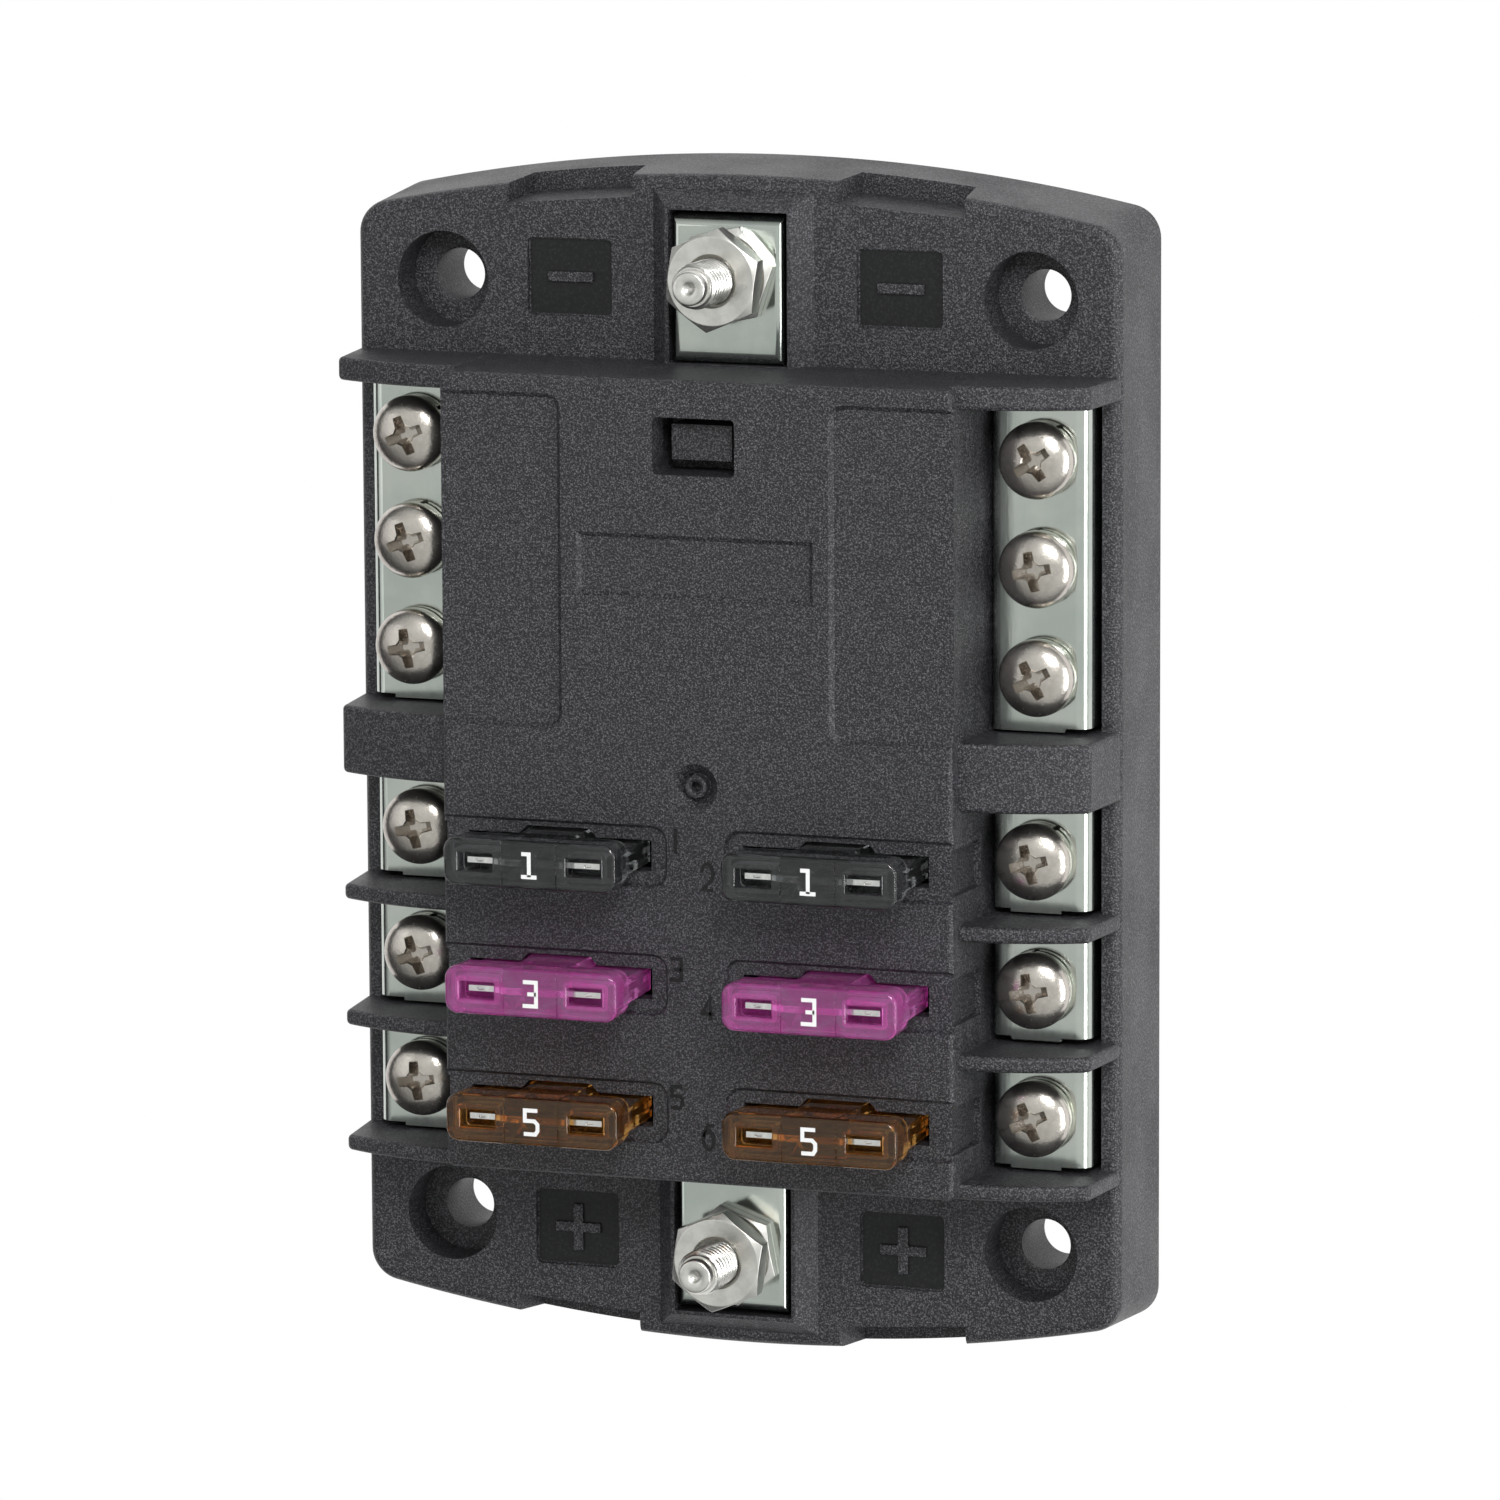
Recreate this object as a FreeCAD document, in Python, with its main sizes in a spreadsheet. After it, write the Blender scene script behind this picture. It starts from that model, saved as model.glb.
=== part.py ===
import FreeCAD, Part
import math
import os
import re

import Sketcher

# Blade fuse block for six circuits: one moulded housing, two busses with studs,
# six output terminals and six blade fuses.
# The origin is the middle of the back face. +Z leaves the front, +Y points to the
# negative stud and +X to the even numbered circuits.

# Driving sizes in millimetres
SIZES = {
    # Base of the housing, measured on its front face
    "base_half_x": 42.2,
    "base_end_y": 62.3,
    "base_arch": 196.0,
    "base_front": 13.1,
    "base_draft_x": 0.3,
    "base_draft_y": 0.9,
    "base_corner": 3.5,
    "base_edge": 0.5,
    # Tower that holds the fuses
    "tower_half_x": 28.15,
    "tower_draft_x": 0.8,
    "tower_end_y": 42.3,
    "tower_draft_y": 0.3,
    "tower_front": 25.9,
    "tower_corner": 0.8,
    "tower_edge": 0.4,
    # Dividers beside the tower
    "flange_top_y": 42.64,
    "flange_thick": 2.46,
    "block_top_y": 5.61,
    "block_thick": 7.26,
    "divider_thick": 1.67,
    "bay_pitch": 13.6,
    "divider_inner_x": 28.0,
    "divider_inner_z": 24.2,
    "divider_outer_x": 41.4,
    "divider_outer_z": 20.9,
    "divider_curve": 30.0,
    # Stud windows and the ridges round them
    "stud_y": 52.0,
    "window_half_x": 6.55,
    "window_inner_y": 42.6,
    "window_outer_y": 58.7,
    "ridge_foot_x": 9.18,
    "ridge_top_x": 6.95,
    "ridge_front": 15.1,
    "ridge_foot_y": 61.0,
    "ridge_top_y": 59.1,
    # Mounting holes
    "mount_x": 32.5,
    "mount_y": 50.3,
    "mount_hole_r": 2.7,
    "mount_head_r": 5.1,
    "mount_seat": 8.1,
    # Notches in the two ends
    "notch_inner_x": 11.1,
    "notch_outer_x": 25.4,
    "notch_near_y": 58.5,
    "notch_far_y": 59.6,
    "notch_floor": 6.75,
    # Sunken pads with the polarity marks
    "pad_inner_x": 13.55,
    "pad_outer_x": 22.95,
    "pad_low_y": 46.85,
    "pad_high_y": 55.1,
    "pad_deep": 0.5,
    "pad_corner": 0.7,
    "mark_long": 5.1,
    "mark_thick": 1.1,
    "mark_tall": 0.4,
    # Fuse seats in the tower front
    "seat_inner_x": 3.5,
    "seat_half_y": 2.95,
    "seat_deep": 0.5,
    "seat_corner": 1.4,
    "seat_drop": 0.2,
    "channel_half_y": 2.5,
    "channel_wall_x": 27.85,
    "channel_floor": 18.1,
    "slot_inner_x": 5.05,
    "slot_outer_x": 25.4,
    "slot_half_y": 1.65,
    "slot_bulge": 0.87,
    "bulge_inner_x": 12.0,
    "bulge_outer_x": 18.9,
    "bulge_slant": 0.8,
    # Label panels, latch pocket, bare plate and dimple in the tower front
    "panel_inner_x": 15.2,
    "panel_low_y": 5.7,
    "panel_high_y": 39.9,
    "panel_deep": 0.5,
    "panel_corner": 1.0,
    "latch_half_x": 4.5,
    "latch_low_y": 32.4,
    "latch_high_y": 38.4,
    "latch_floor": 19.4,
    "tongue_half_x": 3.3,
    "tongue_low_y": 33.7,
    "tongue_high_y": 37.4,
    "tongue_front": 23.2,
    "plate_half_x": 13.0,
    "plate_low_y": 19.4,
    "plate_high_y": 26.1,
    "plate_deep": 0.45,
    "plate_bevel": 0.5,
    "dimple_y": -0.2,
    "dimple_r": 2.45,
    "dimple_deep": 1.3,
    "post_r": 1.2,
    "post_hole_r": 0.55,
    "post_hole_deep": 1.5,
    # Hollow underside of the housing
    "cavity_half_x": 40.2,
    "cavity_half_y": 41.2,
    "cavity_roof": 10.9,
    "end_cavity_half_x": 8.0,
    "end_cavity_y": 59.2,
    "tower_roof": 3.0,
    "cell_inner_x": 4.6,
    "cell_outer_x": 26.0,
    "cell_half_y": 5.9,
    "core_inner_x": 8.0,
    "core_low_y": 8.0,
    "core_high_y": 38.5,
    "end_core_inner_x": 11.0,
    "end_core_outer_x": 25.5,
    "end_core_low_y": 44.0,
    "end_core_high_y": 56.6,
    "end_core_roof": 10.4,
    # Back plate that closes the underside and carries the metal
    "back_thick": 1.6,
    "rebate_ledge": 1.0,
    "back_fit": 0.1,
    "boss_half_x": 3.9,
    "boss_half_y": 4.6,
    "boss_x": 34.4,
    "well_half": 3.1,
    "well_floor": 5.0,
    "rib_half": 1.1,
    "rib_inset": 1.5,
    # Sheet metal of the busses and output terminals
    "sheet_thick": 1.2,
    "bus_level": 9.0,
    "arm_front": 16.2,
    "output_front": 15.9,
    "tab_front": 15.15,
    "leg_x": 29.05,
    "arm_outer_x": 39.78,
    "output_outer_x": 39.73,
    "strip_roll": 1.5,
    "strip_foot": 11.4,
    "arm_low_y": 5.9,
    "arm_high_y": 39.95,
    "output_half_y": 5.3,
    "ear_half_y": 5.65,
    "ear_inner_x": 31.2,
    "ear_outer_x": 36.7,
    "cross_low_y": 27.0,
    "cross_high_y": 38.0,
    "tab_half_x": 6.1,
    "tab_inner_y": 42.75,
    "tab_outer_y": 58.3,
    "tab_side_roll": 0.9,
    "tab_lap": 2.0,
    "positive_bar_half_x": 13.4,
    "positive_bar_low_y": 40.6,
    "positive_bar_high_y": 3.6,
    "output_inner_x": 16.8,
    "jaw_gap": 0.05,
    "jaw_thick": 0.7,
    "jaw_half_x": 2.5,
    "jaw_straight_z": 20.4,
    "jaw_tip_z": 21.7,
    "jaw_flare": 0.85,
    # Terminal screws and their lock washers
    "screw_r": 2.083,
    "screw_long": 8.0,
    "screw_fit": 0.05,
    "head_r": 4.05,
    "head_tall": 2.6,
    "head_wall": 0.9,
    "head_flat_r": 2.3,
    "recess_half": 2.1,
    "recess_web": 0.5,
    "recess_deep": 1.5,
    "collar_r": 2.9,
    "collar_tall": 1.8,
    "washer_r": 3.95,
    "washer_thick": 1.0,
    "washer_fit": 0.12,
    "washer_gap": 0.35,
    "washer_slant": 0.35,
    "output_screw_x": 34.16,
    "negative_screw_x": 34.6,
    "negative_first_y": 34.4,
    "negative_pitch": 11.33,
    # Studs and what is on them
    "stud_r": 2.413,
    "stud_tip": 27.2,
    "pilot_r": 1.8,
    "pilot_tall": 1.2,
    "pilot_edge": 0.2,
    "thread_bevel": 0.4,
    "stud_head_r": 4.4,
    "stud_head_tall": 2.0,
    "jam_tall": 1.55,
    "stud_washer_r": 4.1,
    "stud_washer_thick": 1.05,
    "nut_across": 9.53,
    "nut_tall": 2.6,
    "nut_fit": 0.05,
    "nut_chamfer": 0.45,
    # Blade fuses
    "fuse_x": 15.3,
    "fuse_top": 34.5,
    "fuse_head_tall": 4.0,
    "fuse_head_half_x": 9.55,
    "fuse_head_half_y": 2.55,
    "fuse_head_corner": 1.4,
    "fuse_edge": 0.35,
    "fuse_low_half_x": 9.2,
    "fuse_low_half_y": 1.5,
    "fuse_low_tall": 8.2,
    "fuse_bulge_half_x": 3.0,
    "fuse_bulge_half_y": 2.3,
    "blade_outer": 7.35,
    "blade_wide": 5.2,
    "blade_thick": 0.65,
    "blade_below": 14.8,
    "blade_above": 2.6,
    "blade_point": 0.6,
    "element_fit": 0.05,
    "link_low": 2.2,
    "link_tall": 1.3,
    "link_rise": 1.6,
    "test_x": 6.0,
    "test_half_x": 1.95,
    "test_half_y": 0.925,
    # How far a feature runs into its neighbour, and a cut past the face it starts from
    "lap": 1.0,
    "cut_over": 0.1,
}

ROWS = (0, 1, 2)
SIDES = (-1, 1)

# Angles about +Z of each screw, of its washer's split, and of a stud's jam nut, washer and nut
OUTPUT_TURNS = (12, 15, 20, 10, 8, 24)
NEGATIVE_TURNS = (22, 35, 20, 12, 10, 28)
SPLIT_LEAD = 70
STUD_TURNS = {"negative": (12, 150, 23), "positive": (40, 200, 23)}

# A point this close to a plane lies on it
NEAR = 0.01

doc = FreeCAD.newDocument("BladeFuseBlock")
sheet = doc.addObject("Spreadsheet::Sheet", "Sizes")
for line, (alias, size) in enumerate(SIZES.items(), start=1):
    sheet.set(f"A{line}", alias)
    sheet.set(f"B{line}", str(size))
    sheet.setAlias(f"B{line}", alias)
doc.recompute()

PARTS = []


# Helpers: expressions, sketches and features

def cells(text):
    """Return the text with each alias written as a cell of the sheet."""
    return re.sub(r"[a-z_]+", lambda word: "Sizes." + word[0] if word[0] in SIZES else word[0], str(text))


def number(text):
    """Return the value of an expression of aliases."""
    return float(sheet.evalExpression(cells(text)))


def bind(item, name, text):
    """Bind one property of an object to an expression of aliases."""
    item.setExpression(name, cells(text))


def span(side, low, high):
    """Return a range on the +X side, or its mirror image on the -X side, low end first."""
    if side > 0:
        return low, high
    return f"-({high})", f"-({low})"


def new_body(label):
    """Start a sub-part."""
    body = doc.addObject("PartDesign::Body", label)
    body.Label = label
    PARTS.append(body)
    return body


def origin_item(body, role):
    """Return one plane or axis of a body's origin."""
    return next(item for item in body.Origin.OriginFeatures if item.Role == role)


def new_sketch(body, name, role="XY_Plane", level="0"):
    """Start a sketch on a plane of the body, moved along the plane's normal."""
    sketch = body.newObject("Sketcher::SketchObject", name)
    sketch.AttachmentSupport = [(origin_item(body, role), "")]
    sketch.MapMode = "FlatFace"
    bind(sketch, "AttachmentOffset.Base.z", level)
    return sketch


def arc_between(start, end, radius, turn):
    """Return the minor arc from start to end; turn is 1 when it bends left and -1 when right."""
    chord = end - start
    sag = math.sqrt(radius ** 2 - (chord.Length / 2) ** 2)
    left = FreeCAD.Vector(-chord.y, chord.x, 0).normalize()
    centre = (start + end) / 2 + left * sag * turn
    first, last = (start, end) if turn > 0 else (end, start)
    angles = [math.atan2(corner.y - centre.y, corner.x - centre.x) for corner in (first, last)]
    circle = Part.Circle(centre, FreeCAD.Vector(0, 0, 1), radius)
    return Part.ArcOfCircle(circle, angles[0], angles[1])


def outline(sketch, points):
    """Draw a closed outline of corners (x, y) or (x, y, radius, turn).

    The longer form makes the edge that leaves the corner an arc.
    """
    corners = [FreeCAD.Vector(number(point[0]), number(point[1]), 0) for point in points]
    ends = []
    for index, point in enumerate(points):
        start = corners[index]
        end = corners[(index + 1) % len(points)]
        if len(point) == 2:
            edge = sketch.addGeometry(Part.LineSegment(start, end))
            ends.append((edge, 1, 2))
        else:
            radius, turn = number(point[2]), point[3]
            edge = sketch.addGeometry(arc_between(start, end, radius, turn))
            ends.append((edge, 1, 2) if turn > 0 else (edge, 2, 1))
            limit = sketch.addConstraint(Sketcher.Constraint("Radius", edge, radius))
            bind(sketch, f"Constraints[{limit}]", point[2])
    for index, point in enumerate(points):
        edge, first, _ = ends[index]
        before, _, last = ends[index - 1]
        sketch.addConstraint(Sketcher.Constraint("Coincident", before, last, edge, first))
        for kind, place, text in (("DistanceX", corners[index].x, point[0]),
                                  ("DistanceY", corners[index].y, point[1])):
            limit = sketch.addConstraint(Sketcher.Constraint(kind, -1, 1, edge, first, place))
            bind(sketch, f"Constraints[{limit}]", text)


def rectangle(sketch, x_range, y_range):
    """Draw a rectangle between two ranges."""
    (left, right), (low, high) = x_range, y_range
    outline(sketch, [(left, low), (right, low), (right, high), (left, high)])


def round_rectangle(sketch, x_range, y_range, radius):
    """Draw a rectangle with round corners."""
    (left, right), (low, high) = x_range, y_range
    near_left, near_right = f"({left}) + {radius}", f"({right}) - {radius}"
    near_low, near_high = f"({low}) + {radius}", f"({high}) - {radius}"
    outline(sketch, [
        (near_left, low),
        (near_right, low, radius, 1),
        (right, near_low),
        (right, near_high, radius, 1),
        (near_right, high),
        (near_left, high, radius, 1),
        (left, near_high),
        (left, near_low, radius, 1),
    ])


def cross(sketch, x, y, reach, half):
    """Draw a cross with four equal arms; half is half the width of an arm."""
    quarter = [(reach, half), (half, half), (half, reach)]
    corners = list(quarter)
    corners += [("-" + across, up) for across, up in reversed(quarter)]
    corners += [("-" + across, "-" + up) for across, up in quarter]
    corners += [(across, "-" + up) for across, up in reversed(quarter)]
    outline(sketch, [(f"{x} + {across}", f"{y} + {up}") for across, up in corners])


def circle(sketch, x, y, radius):
    """Draw a circle."""
    centre = FreeCAD.Vector(number(x), number(y), 0)
    edge = sketch.addGeometry(Part.Circle(centre, FreeCAD.Vector(0, 0, 1), number(radius)))
    for kind, places, value, text in (("Radius", (edge,), number(radius), radius),
                                      ("DistanceX", (-1, 1, edge, 3), centre.x, x),
                                      ("DistanceY", (-1, 1, edge, 3), centre.y, y)):
        limit = sketch.addConstraint(Sketcher.Constraint(kind, *places, value))
        bind(sketch, f"Constraints[{limit}]", text)


def feature(body, kind, name, sketch, **sizes):
    """Add a feature made from a sketch, with its sizes bound to the sheet."""
    item = body.newObject(kind, name)
    item.Profile = sketch
    for prop, text in sizes.items():
        bind(item, prop, text)
    sketch.Visibility = False
    return item


def pad(body, name, sketch, length):
    """Raise a sketch along its normal."""
    return feature(body, "PartDesign::Pad", name, sketch, Length=length)


def pocket(body, name, sketch, length, upward=False):
    """Cut a sketch against its normal, or along it when upward."""
    item = feature(body, "PartDesign::Pocket", name, sketch, Length=length)
    item.Reversed = upward
    return item


def loft(body, name, sketches, subtract=False):
    """Join two sketches by a straight loft."""
    kind = "PartDesign::SubtractiveLoft" if subtract else "PartDesign::AdditiveLoft"
    item = feature(body, kind, name, sketches[0])
    item.Sections = sketches[1:]
    item.Ruled = True
    return item


def turned(body, name, sketch, subtract=False):
    """Revolve a sketch on the XZ plane about its vertical axis."""
    kind = "PartDesign::Groove" if subtract else "PartDesign::Revolution"
    item = feature(body, kind, name, sketch)
    item.ReferenceAxis = (sketch, ["V_Axis"])
    item.Angle = 360
    return item


def dress_edges(body, name, base, kind, prop, size, wanted):
    """Round or bevel the edges of a feature whose middle point passes a test."""
    doc.recompute()
    names = []
    for index, edge in enumerate(base.Shape.Edges, start=1):
        middle = edge.valueAt((edge.FirstParameter + edge.LastParameter) / 2)
        if wanted(middle, edge):
            names.append(f"Edge{index}")
    item = body.newObject(kind, name)
    item.Base = (base, names)
    bind(item, prop, size)
    return item


def place(body, x="0", y="0", z="0", turn=0):
    """Place a sub-part, turned by an angle about +Z."""
    body.Placement = FreeCAD.Placement(FreeCAD.Vector(), FreeCAD.Rotation(FreeCAD.Vector(0, 0, 1), turn))
    for axis, text in zip("xyz", (x, y, z)):
        bind(body, f"Placement.Base.{axis}", text)


# Places that several sub-parts share

BLOCK_LOW = "block_top_y - block_thick"
BAY_TALL = "bay_pitch - divider_thick"


def bay_y(row):
    """Return the middle of one output bay."""
    return f"({BLOCK_LOW} - ({BAY_TALL}) / 2 - {row} * bay_pitch)"


def fuse_y(row):
    """Return the middle line of one fuse."""
    return f"({bay_y(row)} - seat_drop)"


def negative_y(row):
    """Return the middle of one screw on the negative bus."""
    return f"(negative_first_y - {row} * negative_pitch)"


INNER_BLADE_X = "(fuse_x - blade_outer + blade_wide / 2)"
OUTER_BLADE_X = "(fuse_x + blade_outer - blade_wide / 2)"


# Housing

def end_outline(sketch, half_x, end_y):
    """Draw the base outline: straight sides, two arched ends and round corners tangent to both."""
    arch_y = f"(({end_y}) - base_arch)"
    inset_x = f"(({half_x}) - base_corner)"
    grow = "(base_arch / (base_arch - base_corner))"
    rise = f"sqrt((base_arch - base_corner) ^ 2 - {inset_x} ^ 2)"
    side_y = f"({arch_y} + {rise})"
    join_x = f"({inset_x} * {grow})"
    join_y = f"({arch_y} + {rise} * {grow})"
    outline(sketch, [
        (half_x, f"-{side_y}"),
        (half_x, side_y, "base_corner", 1),
        (join_x, join_y, "base_arch", 1),
        (f"-{join_x}", join_y, "base_corner", 1),
        (f"-({half_x})", side_y),
        (f"-({half_x})", f"-{side_y}", "base_corner", 1),
        (f"-{join_x}", f"-{join_y}", "base_arch", 1),
        (join_x, f"-{join_y}", "base_corner", 1),
    ])


def make_base(body):
    """Raise the drafted base with a bevel round its front."""
    back = new_sketch(body, "BaseBack")
    end_outline(back, "base_half_x + base_draft_x", "base_end_y + base_draft_y")
    shoulder = new_sketch(body, "BaseShoulder", level="base_front - base_edge")
    end_outline(shoulder, "base_half_x", "base_end_y")
    front = new_sketch(body, "BaseFront", level="base_front")
    end_outline(front, "base_half_x - base_edge", "base_end_y - base_edge")
    loft(body, "Base", [back, shoulder, front])


def make_tower(body):
    """Raise the drafted tower on the base, with a bevel round its front."""
    sections = []
    for name, level, grow_x, grow_y in (
            ("TowerFoot", "base_front", "tower_draft_x", "tower_draft_y"),
            ("TowerShoulder", "tower_front - tower_edge", "0", "0"),
            ("TowerFront", "tower_front", "-tower_edge", "-tower_edge")):
        section = new_sketch(body, name, level=level)
        wide, tall = f"(tower_half_x + {grow_x})", f"(tower_end_y + {grow_y})"
        round_rectangle(section, (f"-{wide}", wide), (f"-{tall}", tall), "tower_corner")
        sections.append(section)
    loft(body, "Tower", sections)


def divider_outline(sketch, side):
    """Draw the side view of a divider: a convex front that falls to the edge of the base."""
    foot_z = "(base_front - base_edge)"
    corners = [
        ("(divider_inner_x - lap)", foot_z),
        ("base_half_x", foot_z),
        ("divider_outer_x", "divider_outer_z", "divider_curve", side),
        ("divider_inner_x", "divider_inner_z"),
        ("(divider_inner_x - lap)", "divider_inner_z"),
    ]
    outline(sketch, [(f"{side} * {corner[0]}",) + corner[1:] for corner in corners])


def make_dividers(body):
    """Raise the top flanges, the middle blocks and the thin walls between the bays."""
    walls = [("Flange", "flange_top_y", "flange_thick"), ("Block", "block_top_y", "block_thick")]
    for row in ROWS:
        walls.append((f"Divider{row + 1}", f"{bay_y(row)} - ({BAY_TALL}) / 2", "divider_thick"))
    for name, top_y, thick in walls:
        sketch = new_sketch(body, name + "Outline", "XZ_Plane", f"-({top_y})")
        for side in SIDES:
            divider_outline(sketch, side)
        pad(body, name, sketch, thick)


def make_ridges(body):
    """Raise the ridge round each stud window and cut the window."""
    inner_y = "(tower_end_y - lap)"
    for side in SIDES:
        foot = new_sketch(body, "RidgeFoot", level="base_front")
        rectangle(foot, ("-ridge_foot_x", "ridge_foot_x"), span(side, inner_y, "ridge_foot_y"))
        top = new_sketch(body, "RidgeTop", level="ridge_front")
        rectangle(top, ("-ridge_top_x", "ridge_top_x"), span(side, inner_y, "ridge_top_y"))
        loft(body, "Ridge", [foot, top])
    windows = new_sketch(body, "StudWindows", level="ridge_front")
    for side in SIDES:
        rectangle(windows, ("-window_half_x", "window_half_x"),
                  span(side, "window_inner_y", "window_outer_y"))
    pocket(body, "StudWindowCuts", windows, "ridge_front - cavity_roof + lap")


def make_base_details(body):
    """Cut the mounting holes, the end notches and the polarity pads with their raised marks."""
    holes = new_sketch(body, "MountHoles", level="base_front")
    seats = new_sketch(body, "MountSeats", level="base_front")
    notches = new_sketch(body, "EndNotches", level="base_front")
    pads = new_sketch(body, "PolarityPads", level="base_front")
    marks = new_sketch(body, "PolarityMarks", level="base_front - pad_deep")
    reach, half = "mark_long / 2", "mark_thick / 2"
    beyond = "(base_end_y + base_draft_y + lap)"
    pad_x = "(pad_inner_x + pad_outer_x) / 2"
    pad_y = "(pad_low_y + pad_high_y) / 2"
    for side in SIDES:
        for end in SIDES:
            circle(holes, f"{side} * mount_x", f"{end} * mount_y", "mount_hole_r")
            circle(seats, f"{side} * mount_x", f"{end} * mount_y", "mount_head_r")
            outline(notches, [
                (f"{side} * notch_inner_x", f"{end} * notch_far_y"),
                (f"{side} * notch_outer_x", f"{end} * notch_near_y"),
                (f"{side} * notch_outer_x", f"{end} * {beyond}"),
                (f"{side} * notch_inner_x", f"{end} * {beyond}"),
            ])
            round_rectangle(pads, span(side, "pad_inner_x", "pad_outer_x"),
                            span(end, "pad_low_y", "pad_high_y"), "pad_corner")
        low, high = span(side, f"({pad_x}) - {reach}", f"({pad_x}) + {reach}")
        rectangle(marks, (low, high), (f"{pad_y} - {half}", f"{pad_y} + {half}"))
        cross(marks, f"({side} * ({pad_x}))", f"(-({pad_y}))", reach, half)
    pocket(body, "MountHoleCuts", holes, "base_front")
    pocket(body, "MountSeatCuts", seats, "base_front - mount_seat")
    pocket(body, "EndNotchCuts", notches, "base_front - notch_floor")
    pocket(body, "PolarityPadCuts", pads, "pad_deep")
    pad(body, "PolarityMarkBars", marks, "mark_tall")


def slot_outline(sketch, side, row):
    """Draw the slot for one fuse, wider at its middle."""
    mid = fuse_y(row)
    wide = "(slot_half_y + slot_bulge)"
    upper = [
        ("slot_outer_x", "slot_half_y"),
        ("(bulge_outer_x + bulge_slant)", "slot_half_y"),
        ("bulge_outer_x", wide),
        ("bulge_inner_x", wide),
        ("(bulge_inner_x - bulge_slant)", "slot_half_y"),
        ("slot_inner_x", "slot_half_y"),
    ]
    lower = [(x, f"-{y}") for x, y in reversed(upper)]
    outline(sketch, [(f"{side} * {x}", f"{mid} + {y}") for x, y in upper + lower])


def make_tower_details(body):
    """Cut the fuse seats, slots and channels, the panels, the latch pocket, the plate and the dimple."""
    seats = new_sketch(body, "FuseSeats", level="tower_front")
    channels = new_sketch(body, "SideChannels", level="tower_front")
    slots = new_sketch(body, "FuseSlots", level="tower_front")
    panels = new_sketch(body, "LabelPanels", level="tower_front")
    beyond = "(tower_half_x + tower_draft_x + lap)"
    for side in SIDES:
        for row in ROWS:
            mid = fuse_y(row)
            inner = "seat_inner_x"
            near = f"({inner} + seat_corner)"
            low, high = f"{mid} - seat_half_y", f"{mid} + seat_half_y"
            outline(seats, [
                (f"{side} * {beyond}", low),
                (f"{side} * {beyond}", high),
                (f"{side} * {near}", high, "seat_corner", side),
                (f"{side} * {inner}", f"{high} - seat_corner"),
                (f"{side} * {inner}", f"{low} + seat_corner", "seat_corner", side),
                (f"{side} * {near}", low),
            ])
            rectangle(channels, span(side, "channel_wall_x", beyond),
                      (f"{mid} - channel_half_y", f"{mid} + channel_half_y"))
            slot_outline(slots, side, row)
        inner = "panel_inner_x"
        near = f"({inner} + panel_corner)"
        outline(panels, [
            (f"{side} * {beyond}", "panel_low_y"),
            (f"{side} * {beyond}", "panel_high_y"),
            (f"{side} * {near}", "panel_high_y", "panel_corner", side),
            (f"{side} * {inner}", "(panel_high_y - panel_corner)"),
            (f"{side} * {inner}", "(panel_low_y + panel_corner)", "panel_corner", side),
            (f"{side} * {near}", "panel_low_y"),
        ])
    pocket(body, "FuseSeatCuts", seats, "seat_deep")
    pocket(body, "SideChannelCuts", channels, "tower_front - channel_floor")
    pocket(body, "FuseSlotCuts", slots, "tower_roof + lap")
    pocket(body, "LabelPanelCuts", panels, "panel_deep")
    latch = new_sketch(body, "LatchPocket", level="tower_front")
    round_rectangle(latch, ("-latch_half_x", "latch_half_x"), ("latch_low_y", "latch_high_y"), "tower_edge")
    pocket(body, "LatchPocketCut", latch, "tower_front - latch_floor")
    tongue = new_sketch(body, "LatchTongue", level="latch_floor")
    rectangle(tongue, ("-tongue_half_x", "tongue_half_x"), ("tongue_low_y", "tongue_high_y"))
    pad(body, "LatchTongueBlock", tongue, "tongue_front - latch_floor")
    rim = new_sketch(body, "PlateRim", level="tower_front")
    rectangle(rim, ("-plate_half_x", "plate_half_x"), ("plate_low_y", "plate_high_y"))
    floor = new_sketch(body, "PlateFloor", level="tower_front - plate_deep")
    rectangle(floor, ("-(plate_half_x - plate_bevel)", "plate_half_x - plate_bevel"),
              ("plate_low_y + plate_bevel", "plate_high_y - plate_bevel"))
    loft(body, "PlateRecess", [rim, floor], subtract=True)
    make_dimple(body)


def make_dimple(body):
    """Cut the conical dimple with its hollow post."""
    ring = new_sketch(body, "DimpleRing", level="tower_front")
    circle(ring, "0", "dimple_y", "dimple_r")
    circle(ring, "0", "dimple_y", "post_r")
    pocket(body, "DimpleCut", ring, "dimple_deep")
    hole = new_sketch(body, "DimpleHole", level="tower_front")
    circle(hole, "0", "dimple_y", "post_hole_r")
    pocket(body, "DimpleHoleCut", hole, "post_hole_deep")


def plus_outline(sketch, grow):
    """Draw the outline of the underside cavity, grown all round."""
    wide, tall = f"(cavity_half_x + {grow})", f"(cavity_half_y + {grow})"
    neck, end = f"(end_cavity_half_x + {grow})", f"(end_cavity_y + {grow})"
    quarter = [(neck, end), (neck, tall), (wide, tall)]
    corners = list(quarter)
    corners += [(x, "-" + y) for x, y in reversed(quarter)]
    corners += [("-" + x, "-" + y) for x, y in quarter]
    corners += [("-" + x, y) for x, y in reversed(quarter)]
    outline(sketch, corners)


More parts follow.
